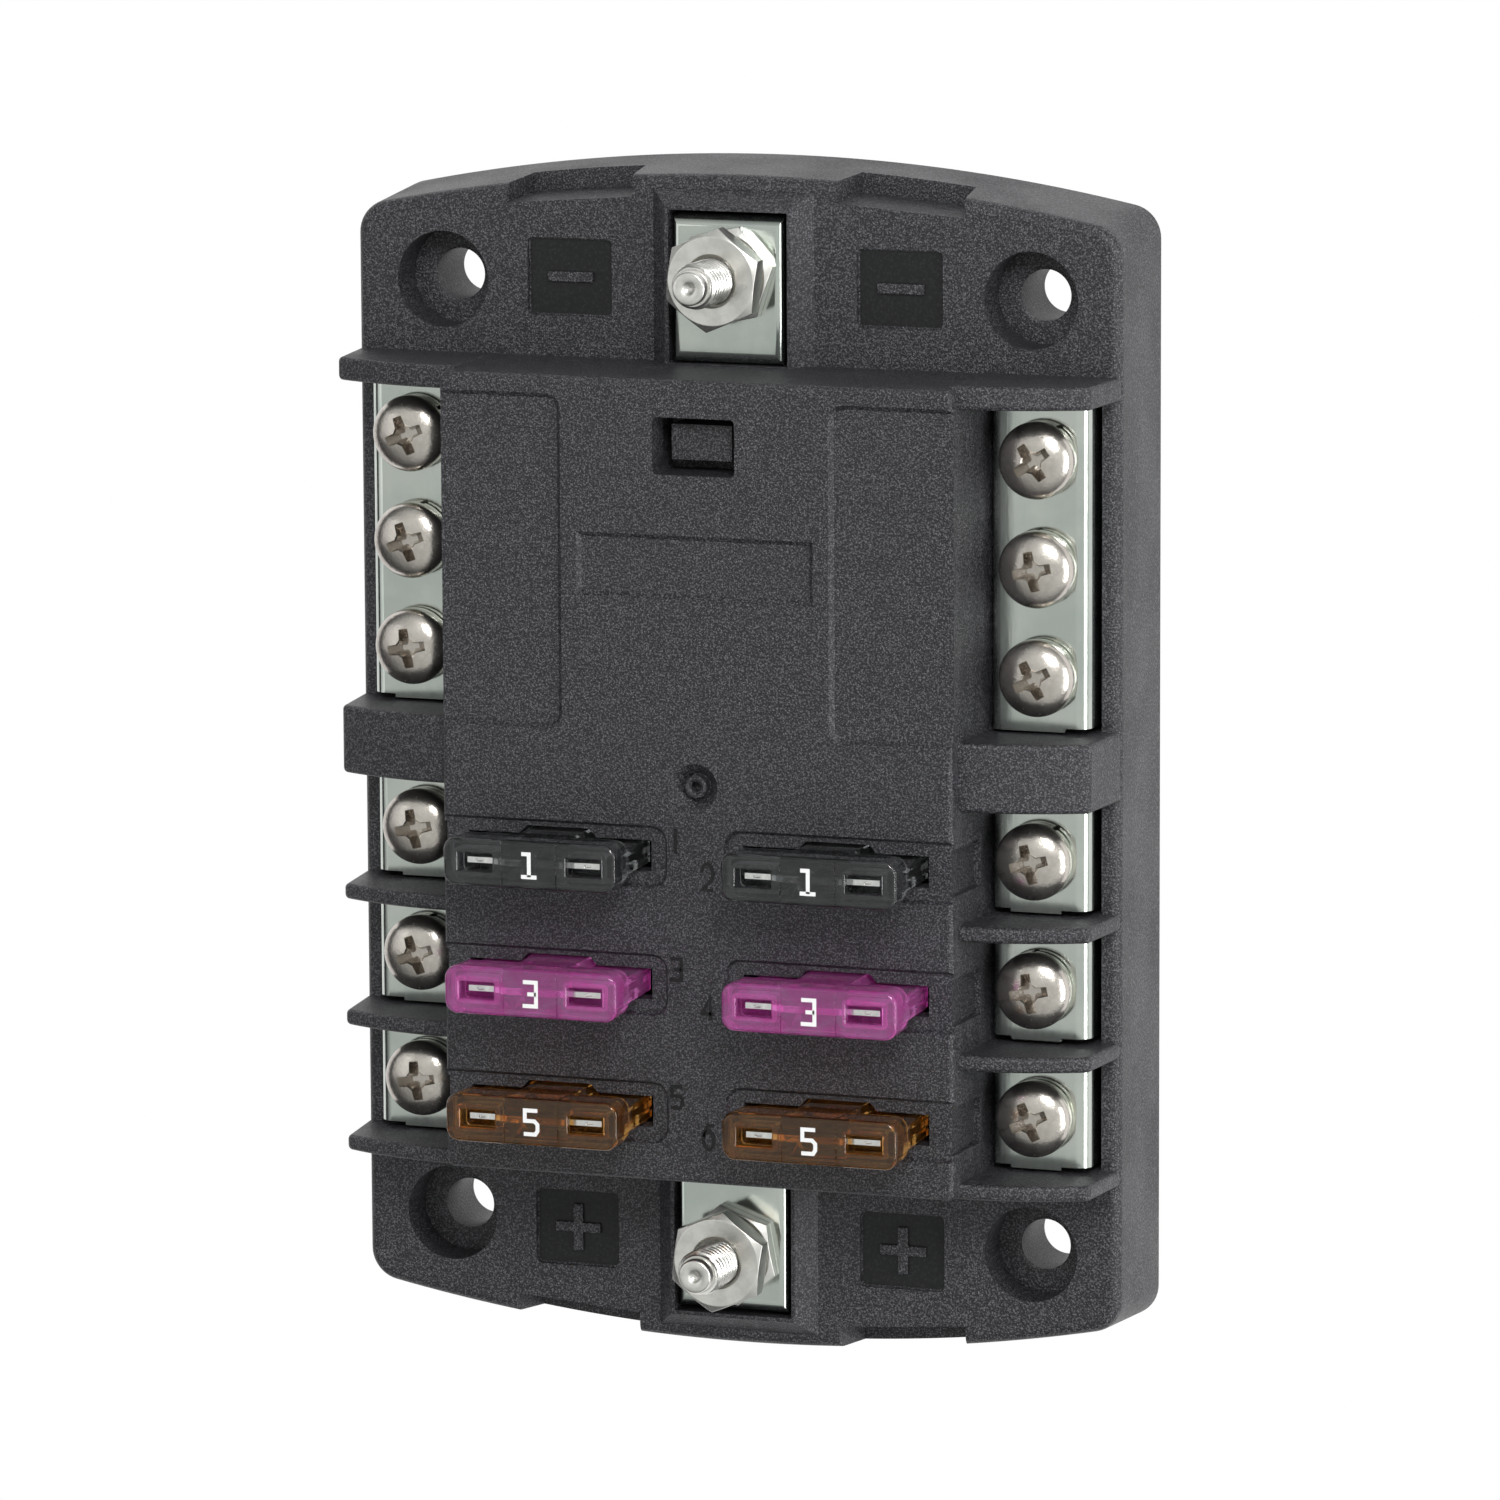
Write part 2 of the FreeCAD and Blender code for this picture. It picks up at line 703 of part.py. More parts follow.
def make_underside(body):
    """Hollow the housing from the back and open the bays above the metal."""
    rebate = new_sketch(body, "BackRebate")
    plus_outline(rebate, "rebate_ledge")
    pocket(body, "BackRebateCut", rebate, "back_thick", upward=True)
    cavity = new_sketch(body, "Cavity")
    plus_outline(cavity, "0")
    pocket(body, "CavityCut", cavity, "cavity_roof", upward=True)
    cells_above = new_sketch(body, "TowerCells", level="cavity_roof")
    end_cores = new_sketch(body, "EndCores")
    bays = new_sketch(body, "BayWindows", level="base_front")
    tower_side = "(tower_half_x + tower_draft_x)"
    for side in SIDES:
        for row in ROWS:
            rectangle(cells_above, span(side, "cell_inner_x", "cell_outer_x"),
                      (f"{fuse_y(row)} - cell_half_y", f"{fuse_y(row)} + cell_half_y"))
            rectangle(bays, span(side, tower_side, "cavity_half_x"),
                      (f"{bay_y(row)} - ({BAY_TALL}) / 2", f"{bay_y(row)} + ({BAY_TALL}) / 2"))
        rectangle(cells_above, span(side, "core_inner_x", "cell_outer_x"), ("core_low_y", "core_high_y"))
        rectangle(bays, span(side, tower_side, "cavity_half_x"),
                  ("block_top_y", "flange_top_y - flange_thick"))
        for end in SIDES:
            rectangle(end_cores, span(side, "end_core_inner_x", "end_core_outer_x"),
                      span(end, "end_core_low_y", "end_core_high_y"))
    pocket(body, "TowerCellCuts", cells_above, "tower_front - tower_roof - cavity_roof", upward=True)
    pocket(body, "EndCoreCuts", end_cores, "end_core_roof", upward=True)
    pocket(body, "BayWindowCuts", bays, "base_front - cavity_roof + lap")


def make_housing():
    """Make the moulded housing."""
    body = new_body("housing")
    make_base(body)
    make_tower(body)
    make_dividers(body)
    make_ridges(body)
    make_base_details(body)
    make_tower_details(body)
    make_underside(body)


# Back plate

def well_outline(sketch, x, y):
    """Draw the square well that leaves room for the end of a terminal screw."""
    rectangle(sketch, (f"{x} - well_half", f"{x} + well_half"), (f"{y} - well_half", f"{y} + well_half"))


def make_back_plate():
    """Make the plate that closes the underside, with bosses and ribs that carry the metal."""
    body = new_body("back_plate")
    plate = new_sketch(body, "Plate")
    plus_outline(plate, "(rebate_ledge - back_fit)")
    pad(body, "PlateBlock", plate, "back_thick")
    ribs = new_sketch(body, "Ribs", level="back_thick")
    rectangle(ribs, ("-rib_half", "rib_half"),
              ("-positive_bar_low_y + rib_inset", "-positive_bar_high_y - rib_inset"))
    rectangle(ribs, ("-leg_x + rib_inset", "leg_x - rib_inset"),
              ("(cross_low_y + cross_high_y) / 2 - rib_half", "(cross_low_y + cross_high_y) / 2 + rib_half"))
    for side in SIDES:
        rectangle(ribs, span(side, f"{OUTER_BLADE_X} - rib_half", f"{OUTER_BLADE_X} + rib_half"),
                  (f"{bay_y(2)} - output_half_y", f"{bay_y(0)} + output_half_y"))
    pad(body, "RibWalls", ribs, "bus_level - back_thick")
    posts = new_sketch(body, "StudPosts", level="back_thick")
    for end in SIDES:
        rectangle(posts, ("-boss_half_x", "boss_half_x"),
                  span(end, "stud_y - boss_half_y", "stud_y + boss_half_y"))
    pad(body, "StudPostBlocks", posts, "tab_front - sheet_thick - stud_head_tall - back_thick")
    bosses = new_sketch(body, "OutputBosses", level="back_thick")
    arm_bosses = new_sketch(body, "ArmBosses", level="back_thick")
    wells = new_sketch(body, "OutputWells", level="output_front")
    arm_wells = new_sketch(body, "ArmWells", level="arm_front")
    for side in SIDES:
        across = span(side, "boss_x - boss_half_x", "boss_x + boss_half_x")
        rectangle(arm_bosses, across, (f"{negative_y(2)} - boss_half_y", f"{negative_y(0)} + boss_half_y"))
        for row in ROWS:
            rectangle(bosses, across, (f"{bay_y(row)} - boss_half_y", f"{bay_y(row)} + boss_half_y"))
            well_outline(wells, f"{side} * output_screw_x", bay_y(row))
            well_outline(arm_wells, f"{side} * negative_screw_x", negative_y(row))
    pad(body, "OutputBossBlocks", bosses, "output_front - sheet_thick - back_thick")
    pad(body, "ArmBossBlocks", arm_bosses, "arm_front - sheet_thick - back_thick")
    pocket(body, "OutputWellCuts", wells, "output_front - well_floor")
    pocket(body, "ArmWellCuts", arm_wells, "arm_front - well_floor")


# Sheet metal

def strip_outline(sketch, side, inner_x, outer_x, front):
    """Draw a strip from under the tower, up the leg, over the platform and down to its foot."""
    under = f"({front} - sheet_thick)"
    corners = [
        (inner_x, "bus_level"),
        ("(leg_x + sheet_thick)", "bus_level"),
        ("(leg_x + sheet_thick)", under),
        (f"({outer_x} - strip_roll)", under, "strip_roll - sheet_thick", -side),
        (f"({outer_x} - sheet_thick)", f"({front} - strip_roll)"),
        (f"({outer_x} - sheet_thick)", "strip_foot"),
        (outer_x, "strip_foot"),
        (outer_x, f"({front} - strip_roll)", "strip_roll", side),
        (f"({outer_x} - strip_roll)", front),
        ("(leg_x + sheet_thick / 2)", front, "sheet_thick / 2", side),
        ("leg_x", f"({front} - sheet_thick / 2)"),
        ("leg_x", "(bus_level + sheet_thick)"),
        (inner_x, "(bus_level + sheet_thick)"),
    ]
    outline(sketch, [(f"{side} * {corner[0]}",) + corner[1:] for corner in corners])


def tab_outline(sketch, end, inner_y):
    """Draw a stud tab on the YZ plane: along the bus, up the leg and over the window's plate."""
    under = "(tab_front - sheet_thick)"
    corners = [
        (inner_y, "bus_level"),
        ("(tab_inner_y + sheet_thick)", "bus_level"),
        ("(tab_inner_y + sheet_thick)", under),
        ("(tab_outer_y - strip_roll)", under, "strip_roll - sheet_thick", -end),
        ("(tab_outer_y - sheet_thick)", "(tab_front - strip_roll)"),
        ("(tab_outer_y - sheet_thick)", "strip_foot"),
        ("tab_outer_y", "strip_foot"),
        ("tab_outer_y", "(tab_front - strip_roll)", "strip_roll", end),
        ("(tab_outer_y - strip_roll)", "tab_front"),
        ("(tab_inner_y + sheet_thick / 2)", "tab_front", "sheet_thick / 2", end),
        ("tab_inner_y", "(tab_front - sheet_thick / 2)"),
        ("tab_inner_y", "(bus_level + sheet_thick)"),
        (inner_y, "(bus_level + sheet_thick)"),
    ]
    outline(sketch, [(f"{end} * {corner[0]}",) + corner[1:] for corner in corners])


def make_tab(body, end, inner_y):
    """Add a stud tab with rolled sides and the hole for its stud."""
    sketch = new_sketch(body, "TabOutline", "YZ_Plane", "-tab_half_x")
    tab_outline(sketch, end, inner_y)
    tab = pad(body, "Tab", sketch, "2 * tab_half_x")
    top, side = SIZES["tab_front"], SIZES["tab_half_x"]
    dress_edges(body, "TabSides", tab, "PartDesign::Fillet", "Radius", "tab_side_roll",
                lambda middle, edge: abs(middle.z - top) < NEAR and abs(abs(middle.x) - side) < NEAR
                and edge.Length > side)
    hole = new_sketch(body, "StudHole", level="tab_front")
    circle(hole, "0", f"{end} * stud_y", "stud_r + nut_fit")
    pocket(body, "StudHoleCut", hole, "sheet_thick")


def jaw_outlines(sketch, mid):
    """Draw the two spring leaves that grip a blade from both sides."""
    inner = "(blade_thick / 2 + jaw_gap)"
    for side in SIDES:
        leaf = [
            (inner, "bus_level"),
            (f"({inner} + jaw_thick)", "bus_level"),
            (f"({inner} + jaw_thick)", "jaw_straight_z"),
            (f"({inner} + jaw_thick + jaw_flare)", "jaw_tip_z"),
            (f"({inner} + jaw_flare)", "jaw_tip_z"),
            (inner, "jaw_straight_z"),
        ]
        outline(sketch, [(f"{mid} + {side} * {y}", z) for y, z in leaf])


def screw_holes(body, name, places, front):
    """Draw collars under a platform and bore them for the terminal screws."""
    collars = new_sketch(body, name + "Collars", level=f"{front} - sheet_thick - collar_tall")
    bores = new_sketch(body, name + "Bores", level=front)
    for x, y in places:
        circle(collars, x, y, "collar_r")
        circle(bores, x, y, "screw_r + screw_fit")
    pad(body, name + "CollarRings", collars, "collar_tall + sheet_thick / 2")
    pocket(body, name + "BoreCuts", bores, "sheet_thick + collar_tall + lap")


def make_negative_bus():
    """Make the negative bus: two arms with three terminals each, a crossbar and the stud tab."""
    body = new_body("negative_bus")
    bar = new_sketch(body, "Crossbar", level="bus_level")
    rectangle(bar, ("-leg_x - sheet_thick / 2", "leg_x + sheet_thick / 2"), ("cross_low_y", "cross_high_y"))
    pad(body, "CrossbarStrip", bar, "sheet_thick")
    arms = new_sketch(body, "Arms", "XZ_Plane", "-arm_high_y")
    for side in SIDES:
        strip_outline(arms, side, "(leg_x - sheet_thick)", "arm_outer_x", "arm_front")
    pad(body, "ArmStrips", arms, "arm_high_y - arm_low_y")
    make_tab(body, 1, "(cross_high_y - tab_lap)")
    screw_holes(body, "Terminal", [(f"{side} * negative_screw_x", negative_y(row))
                                   for side in SIDES for row in ROWS], "arm_front")


def make_positive_bus():
    """Make the positive bus: a bar with six blade clips and the stud tab."""
    body = new_body("positive_bus")
    bar = new_sketch(body, "Bar", level="bus_level")
    rectangle(bar, ("-positive_bar_half_x", "positive_bar_half_x"),
              ("-positive_bar_low_y", "-positive_bar_high_y"))
    pad(body, "BarStrip", bar, "sheet_thick")
    make_tab(body, -1, "(positive_bar_low_y - tab_lap)")
    for side in SIDES:
        start, _ = span(side, f"({INNER_BLADE_X} - jaw_half_x)", f"({INNER_BLADE_X} + jaw_half_x)")
        jaws = new_sketch(body, "JawOutlines", "YZ_Plane", start)
        for row in ROWS:
            jaw_outlines(jaws, fuse_y(row))
        pad(body, "Jaws", jaws, "2 * jaw_half_x")


def make_output_terminal(index, side, row):
    """Make one output terminal: the platform beside the tower and the clip under its fuse."""
    body = new_body(f"output_terminal_{index}")
    strip = new_sketch(body, "Strip", "XZ_Plane", "-output_half_y")
    strip_outline(strip, 1, "output_inner_x", "output_outer_x", "output_front")
    pad(body, "StripSheet", strip, "2 * output_half_y")
    ears = new_sketch(body, "Ears", level="output_front - sheet_thick")
    rectangle(ears, ("ear_inner_x", "ear_outer_x"), ("-ear_half_y", "ear_half_y"))
    pad(body, "EarSheet", ears, "sheet_thick")
    jaws = new_sketch(body, "JawOutlines", "YZ_Plane", f"{OUTER_BLADE_X} - jaw_half_x")
    jaw_outlines(jaws, f"-{side} * seat_drop")
    pad(body, "Jaws", jaws, "2 * jaw_half_x")
    screw_holes(body, "Terminal", [("output_screw_x", "0")], "output_front")
    place(body, y=bay_y(row), turn=0 if side > 0 else 180)


# Screws, washers, studs and nuts

def make_screw(label, x, y, z, turn):
    """Make a pan head screw with a cross recess; its head stands on the local origin."""
    body = new_body(label)
    profile = new_sketch(body, "Profile", "XZ_Plane")
    outline(profile, [
        ("0", "-screw_long"),
        ("screw_r", "-screw_long"),
        ("screw_r", "0"),
        ("head_r", "0"),
        ("head_r", "head_wall"),
        ("head_flat_r", "head_tall"),
        ("0", "head_tall"),
    ])
    turned(body, "Turned", profile)
    recess = new_sketch(body, "Recess", level="head_tall")
    cross(recess, "0", "0", "recess_half", "recess_web")
    pocket(body, "RecessCut", recess, "recess_deep")
    place(body, x, y, z, turn)


def make_washer(label, outer_r, inner_r, thick, x, y, z, turn):
    """Make a split lock washer."""
    body = new_body(label)
    ring = new_sketch(body, "Ring")
    circle(ring, "0", "0", outer_r)
    circle(ring, "0", "0", inner_r)
    pad(body, "RingBlock", ring, thick)
    split = new_sketch(body, "Split", "XZ_Plane", f"{inner_r} / 2")
    outline(split, [
        ("-washer_gap - washer_slant", "-cut_over"),
        ("washer_gap - washer_slant", "-cut_over"),
        ("washer_gap + washer_slant", f"{thick} + cut_over"),
        ("-washer_gap + washer_slant", f"{thick} + cut_over"),
    ])
    pocket(body, "SplitCut", split, outer_r, upward=True)
    place(body, x, y, z, turn)


def make_terminal_set(name, index, x, y, front, turn):
    """Make one terminal screw and its lock washer."""
    make_washer(f"{name}_washer_{index}", "washer_r", "screw_r + washer_fit", "washer_thick",
                x, y, front, turn + SPLIT_LEAD)
    make_screw(f"{name}_screw_{index}", x, y, f"{front} + washer_thick", turn)


def make_nut(label, tall, chamfers, x, y, z, turn):
    """Make a hexagon nut, with its corners chamfered at the back for 0 and at the front for 1."""
    body = new_body(label)
    hexagon = new_sketch(body, "Hexagon")
    corner_r = "(nut_across / sqrt(3))"
    outline(hexagon, [(f"{corner_r} * cos({60 * step})", f"{corner_r} * sin({60 * step})")
                      for step in range(6)])
    pad(body, "HexagonBlock", hexagon, tall)
    cut = new_sketch(body, "Chamfer", "XZ_Plane")
    for end in chamfers:
        level, inside = (f"({tall})", -1) if end else ("0", 1)
        outline(cut, [
            ("nut_across / 2 - cut_over", level),
            (f"{corner_r} + cut_over", level),
            (f"{corner_r} + cut_over", f"{level} + {inside} * nut_chamfer"),
        ])
    turned(body, "ChamferCut", cut, subtract=True)
    bore = new_sketch(body, "Bore", level=tall)
    circle(bore, "0", "0", "stud_r + nut_fit")
    pocket(body, "BoreCut", bore, tall)
    place(body, x, y, z, turn)


def make_stud(label, end):
    """Make a stud with a round head under the plate and a plain pilot tip.

    Its thread is two stretches of one radius: the free end that takes a cable's terminal, above
    the nut, and the stretch inside the plate and the nuts.
    """
    body = new_body(label)
    profile = new_sketch(body, "Profile", "XZ_Plane")
    under = "(tab_front - sheet_thick)"
    nut_top = "tab_front + jam_tall + stud_washer_thick + nut_tall"
    outline(profile, [
        ("0", "stud_tip"),
        ("pilot_r - pilot_edge", "stud_tip"),
        ("pilot_r", "stud_tip - pilot_edge"),
        ("pilot_r", "stud_tip - pilot_tall"),
        ("stud_r", "stud_tip - pilot_tall - thread_bevel"),
        ("stud_r", nut_top),
        ("stud_r", under),
        ("stud_head_r", under),
        ("stud_head_r", f"{under} - stud_head_tall"),
        ("0", f"{under} - stud_head_tall"),
    ])
    stud = turned(body, "Turned", profile)
    stud.Refine = False
    place(body, y=f"{end} * stud_y")


def make_stud_set(name, end):
    """Make one stud with its jam nut, lock washer and nut."""
    turns = STUD_TURNS[name]
    y = f"{end} * stud_y"
    make_stud(f"stud_{name}", end)
    make_nut(f"jam_nut_{name}", "jam_tall", (1,), "0", y, "tab_front", turns[0])
    washer_z = "tab_front + jam_tall"
    make_washer(f"stud_washer_{name}", "stud_washer_r", "stud_r + washer_fit", "stud_washer_thick",
                "0", y, washer_z, turns[1])
    make_nut(f"stud_nut_{name}", "nut_tall", (0, 1), "0", y, f"{washer_z} + stud_washer_thick", turns[2])


# Blade fuses

def make_fuse_body(index, side, row):
    """Make the moulded body of a fuse; the underside of its head is at the local origin."""
    body = new_body(f"fuse_{index}_body")
    head = new_sketch(body, "Head")
    round_rectangle(head, ("-fuse_head_half_x", "fuse_head_half_x"),
                    ("-fuse_head_half_y", "fuse_head_half_y"), "fuse_head_corner")
    block = pad(body, "HeadBlock", head, "fuse_head_tall")
    top = SIZES["fuse_head_tall"]
    dress_edges(body, "HeadEdge", block, "PartDesign::Chamfer", "Size", "fuse_edge",
                lambda middle, edge: middle.z > top - NEAR)
    low = new_sketch(body, "Lower", level="-fuse_low_tall")
    rectangle(low, ("-fuse_low_half_x", "fuse_low_half_x"), ("-fuse_low_half_y", "fuse_low_half_y"))
    pad(body, "LowerBlock", low, "fuse_low_tall + lap")
    bulge = new_sketch(body, "Bulge", level="-fuse_low_tall")
    rectangle(bulge, ("-fuse_bulge_half_x", "fuse_bulge_half_x"),
              ("-fuse_bulge_half_y", "fuse_bulge_half_y"))
    pad(body, "BulgeBlock", bulge, "fuse_low_tall + lap")
    room = new_sketch(body, "ElementRoom", level="-fuse_low_tall")
    rectangle(room, ("-blade_outer - element_fit", "blade_outer + element_fit"),
              ("-blade_thick / 2 - element_fit", "blade_thick / 2 + element_fit"))
    pocket(body, "ElementRoomCut", room, "fuse_low_tall + blade_above + element_fit", upward=True)
    windows = new_sketch(body, "TestWindows", level="fuse_head_tall")
    for half in SIDES:
        rectangle(windows, span(half, "test_x - test_half_x", "test_x + test_half_x"),
                  ("-test_half_y", "test_half_y"))
    pocket(body, "TestWindowCuts", windows, "fuse_head_tall - blade_above + element_fit")
    place(body, f"{side} * fuse_x", fuse_y(row), "fuse_top - fuse_head_tall")


def make_fuse_element(index, side, row):
    """Make the element of a fuse: two blades joined by an arched link, cut from one sheet."""
    body = new_body(f"fuse_{index}_element")
    sheet_outline = new_sketch(body, "Outline", "XZ_Plane", "-blade_thick / 2")
    inner = "(blade_outer - blade_wide)"
    half = [
        (inner, "-blade_below + blade_point"),
        (f"({inner} + blade_point)", "-blade_below"),
        ("(blade_outer - blade_point)", "-blade_below"),
        ("blade_outer", "-blade_below + blade_point"),
        ("blade_outer", "blade_above"),
        (inner, "blade_above"),
        (inner, "-link_low"),
        (f"({inner} / 2)", "-link_low + link_rise"),
    ]
    left = [("-" + x, z) for x, z in reversed(half)]
    under_right = [(f"({inner} / 2)", "-link_low - link_tall + link_rise"), (inner, "-link_low - link_tall")]
    under_left = [("-" + x, z) for x, z in reversed(under_right)]
    outline(sheet_outline, half + left + under_left + under_right)
    pad(body, "Sheet", sheet_outline, "blade_thick")
    place(body, f"{side} * fuse_x", fuse_y(row), "fuse_top - fuse_head_tall")


# Assembly

make_housing()
make_back_plate()
make_negative_bus()
make_positive_bus()
for row in ROWS:
    for column, side in enumerate(SIDES):
        index = 2 * row + column + 1
        make_output_terminal(index, side, row)
        make_terminal_set("output", index, f"{side} * output_screw_x", bay_y(row),
                          "output_front", OUTPUT_TURNS[index - 1])
        make_terminal_set("negative", index, f"{side} * negative_screw_x", negative_y(row),
                          "arm_front", NEGATIVE_TURNS[index - 1])
        make_fuse_body(index, side, row)
        make_fuse_element(index, side, row)
make_stud_set("negative", 1)
make_stud_set("positive", -1)
doc.recompute()

faults = [f"{item.Label}: {item.State}" for item in doc.Objects
          if "Invalid" in item.State or "Error" in item.State]
for body in PARTS:
    if body.Shape.isNull() or not body.Shape.isValid():
        faults.append(f"{body.Label} has no valid shape")
    elif len(body.Shape.Solids) != 1:
        faults.append(f"{body.Label} has {len(body.Shape.Solids)} solids")
if faults:
    raise RuntimeError("; ".join(faults))

os.makedirs("parts", exist_ok=True)
for body in PARTS:
    body.Shape.exportStep(f"parts/{body.Label}.step")
    print(f"{body.Label}: volume {body.Shape.Volume:.1f} mm3")
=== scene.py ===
import math

import bmesh
import bpy
from bpy.props import FloatProperty, FloatVectorProperty, PointerProperty
from bpy.types import Operator, Panel, PropertyGroup
from mathutils import Matrix, Vector


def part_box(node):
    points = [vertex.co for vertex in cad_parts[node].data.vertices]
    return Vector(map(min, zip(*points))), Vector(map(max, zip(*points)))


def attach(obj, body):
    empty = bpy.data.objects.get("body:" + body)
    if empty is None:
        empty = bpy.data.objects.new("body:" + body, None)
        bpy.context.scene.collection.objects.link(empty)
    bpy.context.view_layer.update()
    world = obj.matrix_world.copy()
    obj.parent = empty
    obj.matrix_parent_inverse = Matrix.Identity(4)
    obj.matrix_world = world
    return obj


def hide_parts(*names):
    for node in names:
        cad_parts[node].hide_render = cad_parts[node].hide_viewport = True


bl_info = {
    "name": "Blade Fuse Block",
    "version": (1, 0, 0),
    "blender": (4, 5, 0),
    "location": "View3D > Sidebar > Fuse Block",
    "description": "Builds the looks of a six way blade fuse block round its frame",
    "category": "Object",
}

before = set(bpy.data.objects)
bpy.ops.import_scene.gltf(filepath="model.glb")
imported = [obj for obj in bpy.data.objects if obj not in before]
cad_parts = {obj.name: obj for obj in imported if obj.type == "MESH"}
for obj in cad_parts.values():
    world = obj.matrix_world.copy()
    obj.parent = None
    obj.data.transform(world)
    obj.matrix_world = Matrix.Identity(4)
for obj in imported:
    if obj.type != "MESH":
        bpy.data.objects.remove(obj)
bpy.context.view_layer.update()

MM = 0.001
SIDES = (-1, 1)
ROWS = (0, 1, 2)
CORNERS = [(side, end) for side in SIDES for end in SIDES]
BAYS = [(side, row) for side in SIDES for row in ROWS]
ROOT = "block"

# How far a cutter reaches past what it cuts, and a solid into what it is joined to
OVER = 1 * MM

# Half the width of a stud tab
TAB_HALF_X = 6.1 * MM

# Amperes shown on each fuse and the plastic it is moulded from
FUSES = {1: ("1", "fuse_black"), 2: ("1", "fuse_black"), 3: ("3", "fuse_violet"),
         4: ("3", "fuse_violet"), 5: ("5", "fuse_amber"), 6: ("5", "fuse_amber")}

# How far each cross recess is turned, in degrees, from the top left screw down
OUTPUT_TURNS = {1: 12, 2: 15, 3: 20, 4: 10, 5: 8, 6: 24}
NEGATIVE_TURNS = {1: 22, 2: 35, 3: 20, 4: 12, 5: 10, 6: 28}

# How far each stud's jam nut, lock washer and nut are turned, in degrees
STUD_TURNS = {"negative": (12, 150, 23), "positive": (40, 200, 23)}

# Each soft light's place, the point that it is aimed at, and its width and height, in metres
LIGHTS = {
    "key": ((0.31, 0.44, 0.65), (0, 0, 0), (0.28, 0.24)),
    "side": ((0.75, -0.05, 0.30), (0, 0, 0.01), (0.30, 0.60)),
    "fill": ((-0.6, 0.1, 0.5), (0, 0, 0), (0.5, 0.5)),
}


def length(label, millimetres, about):
    """Return a length property whose default is given in millimetres."""
    return FloatProperty(name=label, description=about, default=millimetres * MM, unit="LENGTH",
                         precision=5)


def amount(label, value, about):
    """Return a plain number property."""
    return FloatProperty(name=label, description=about, default=value, precision=4)


def colour(label, value, about):
    """Return a colour property."""
    return FloatVectorProperty(name=label, description=about, default=value, subtype="COLOR",
                               min=0.0, max=1.0)


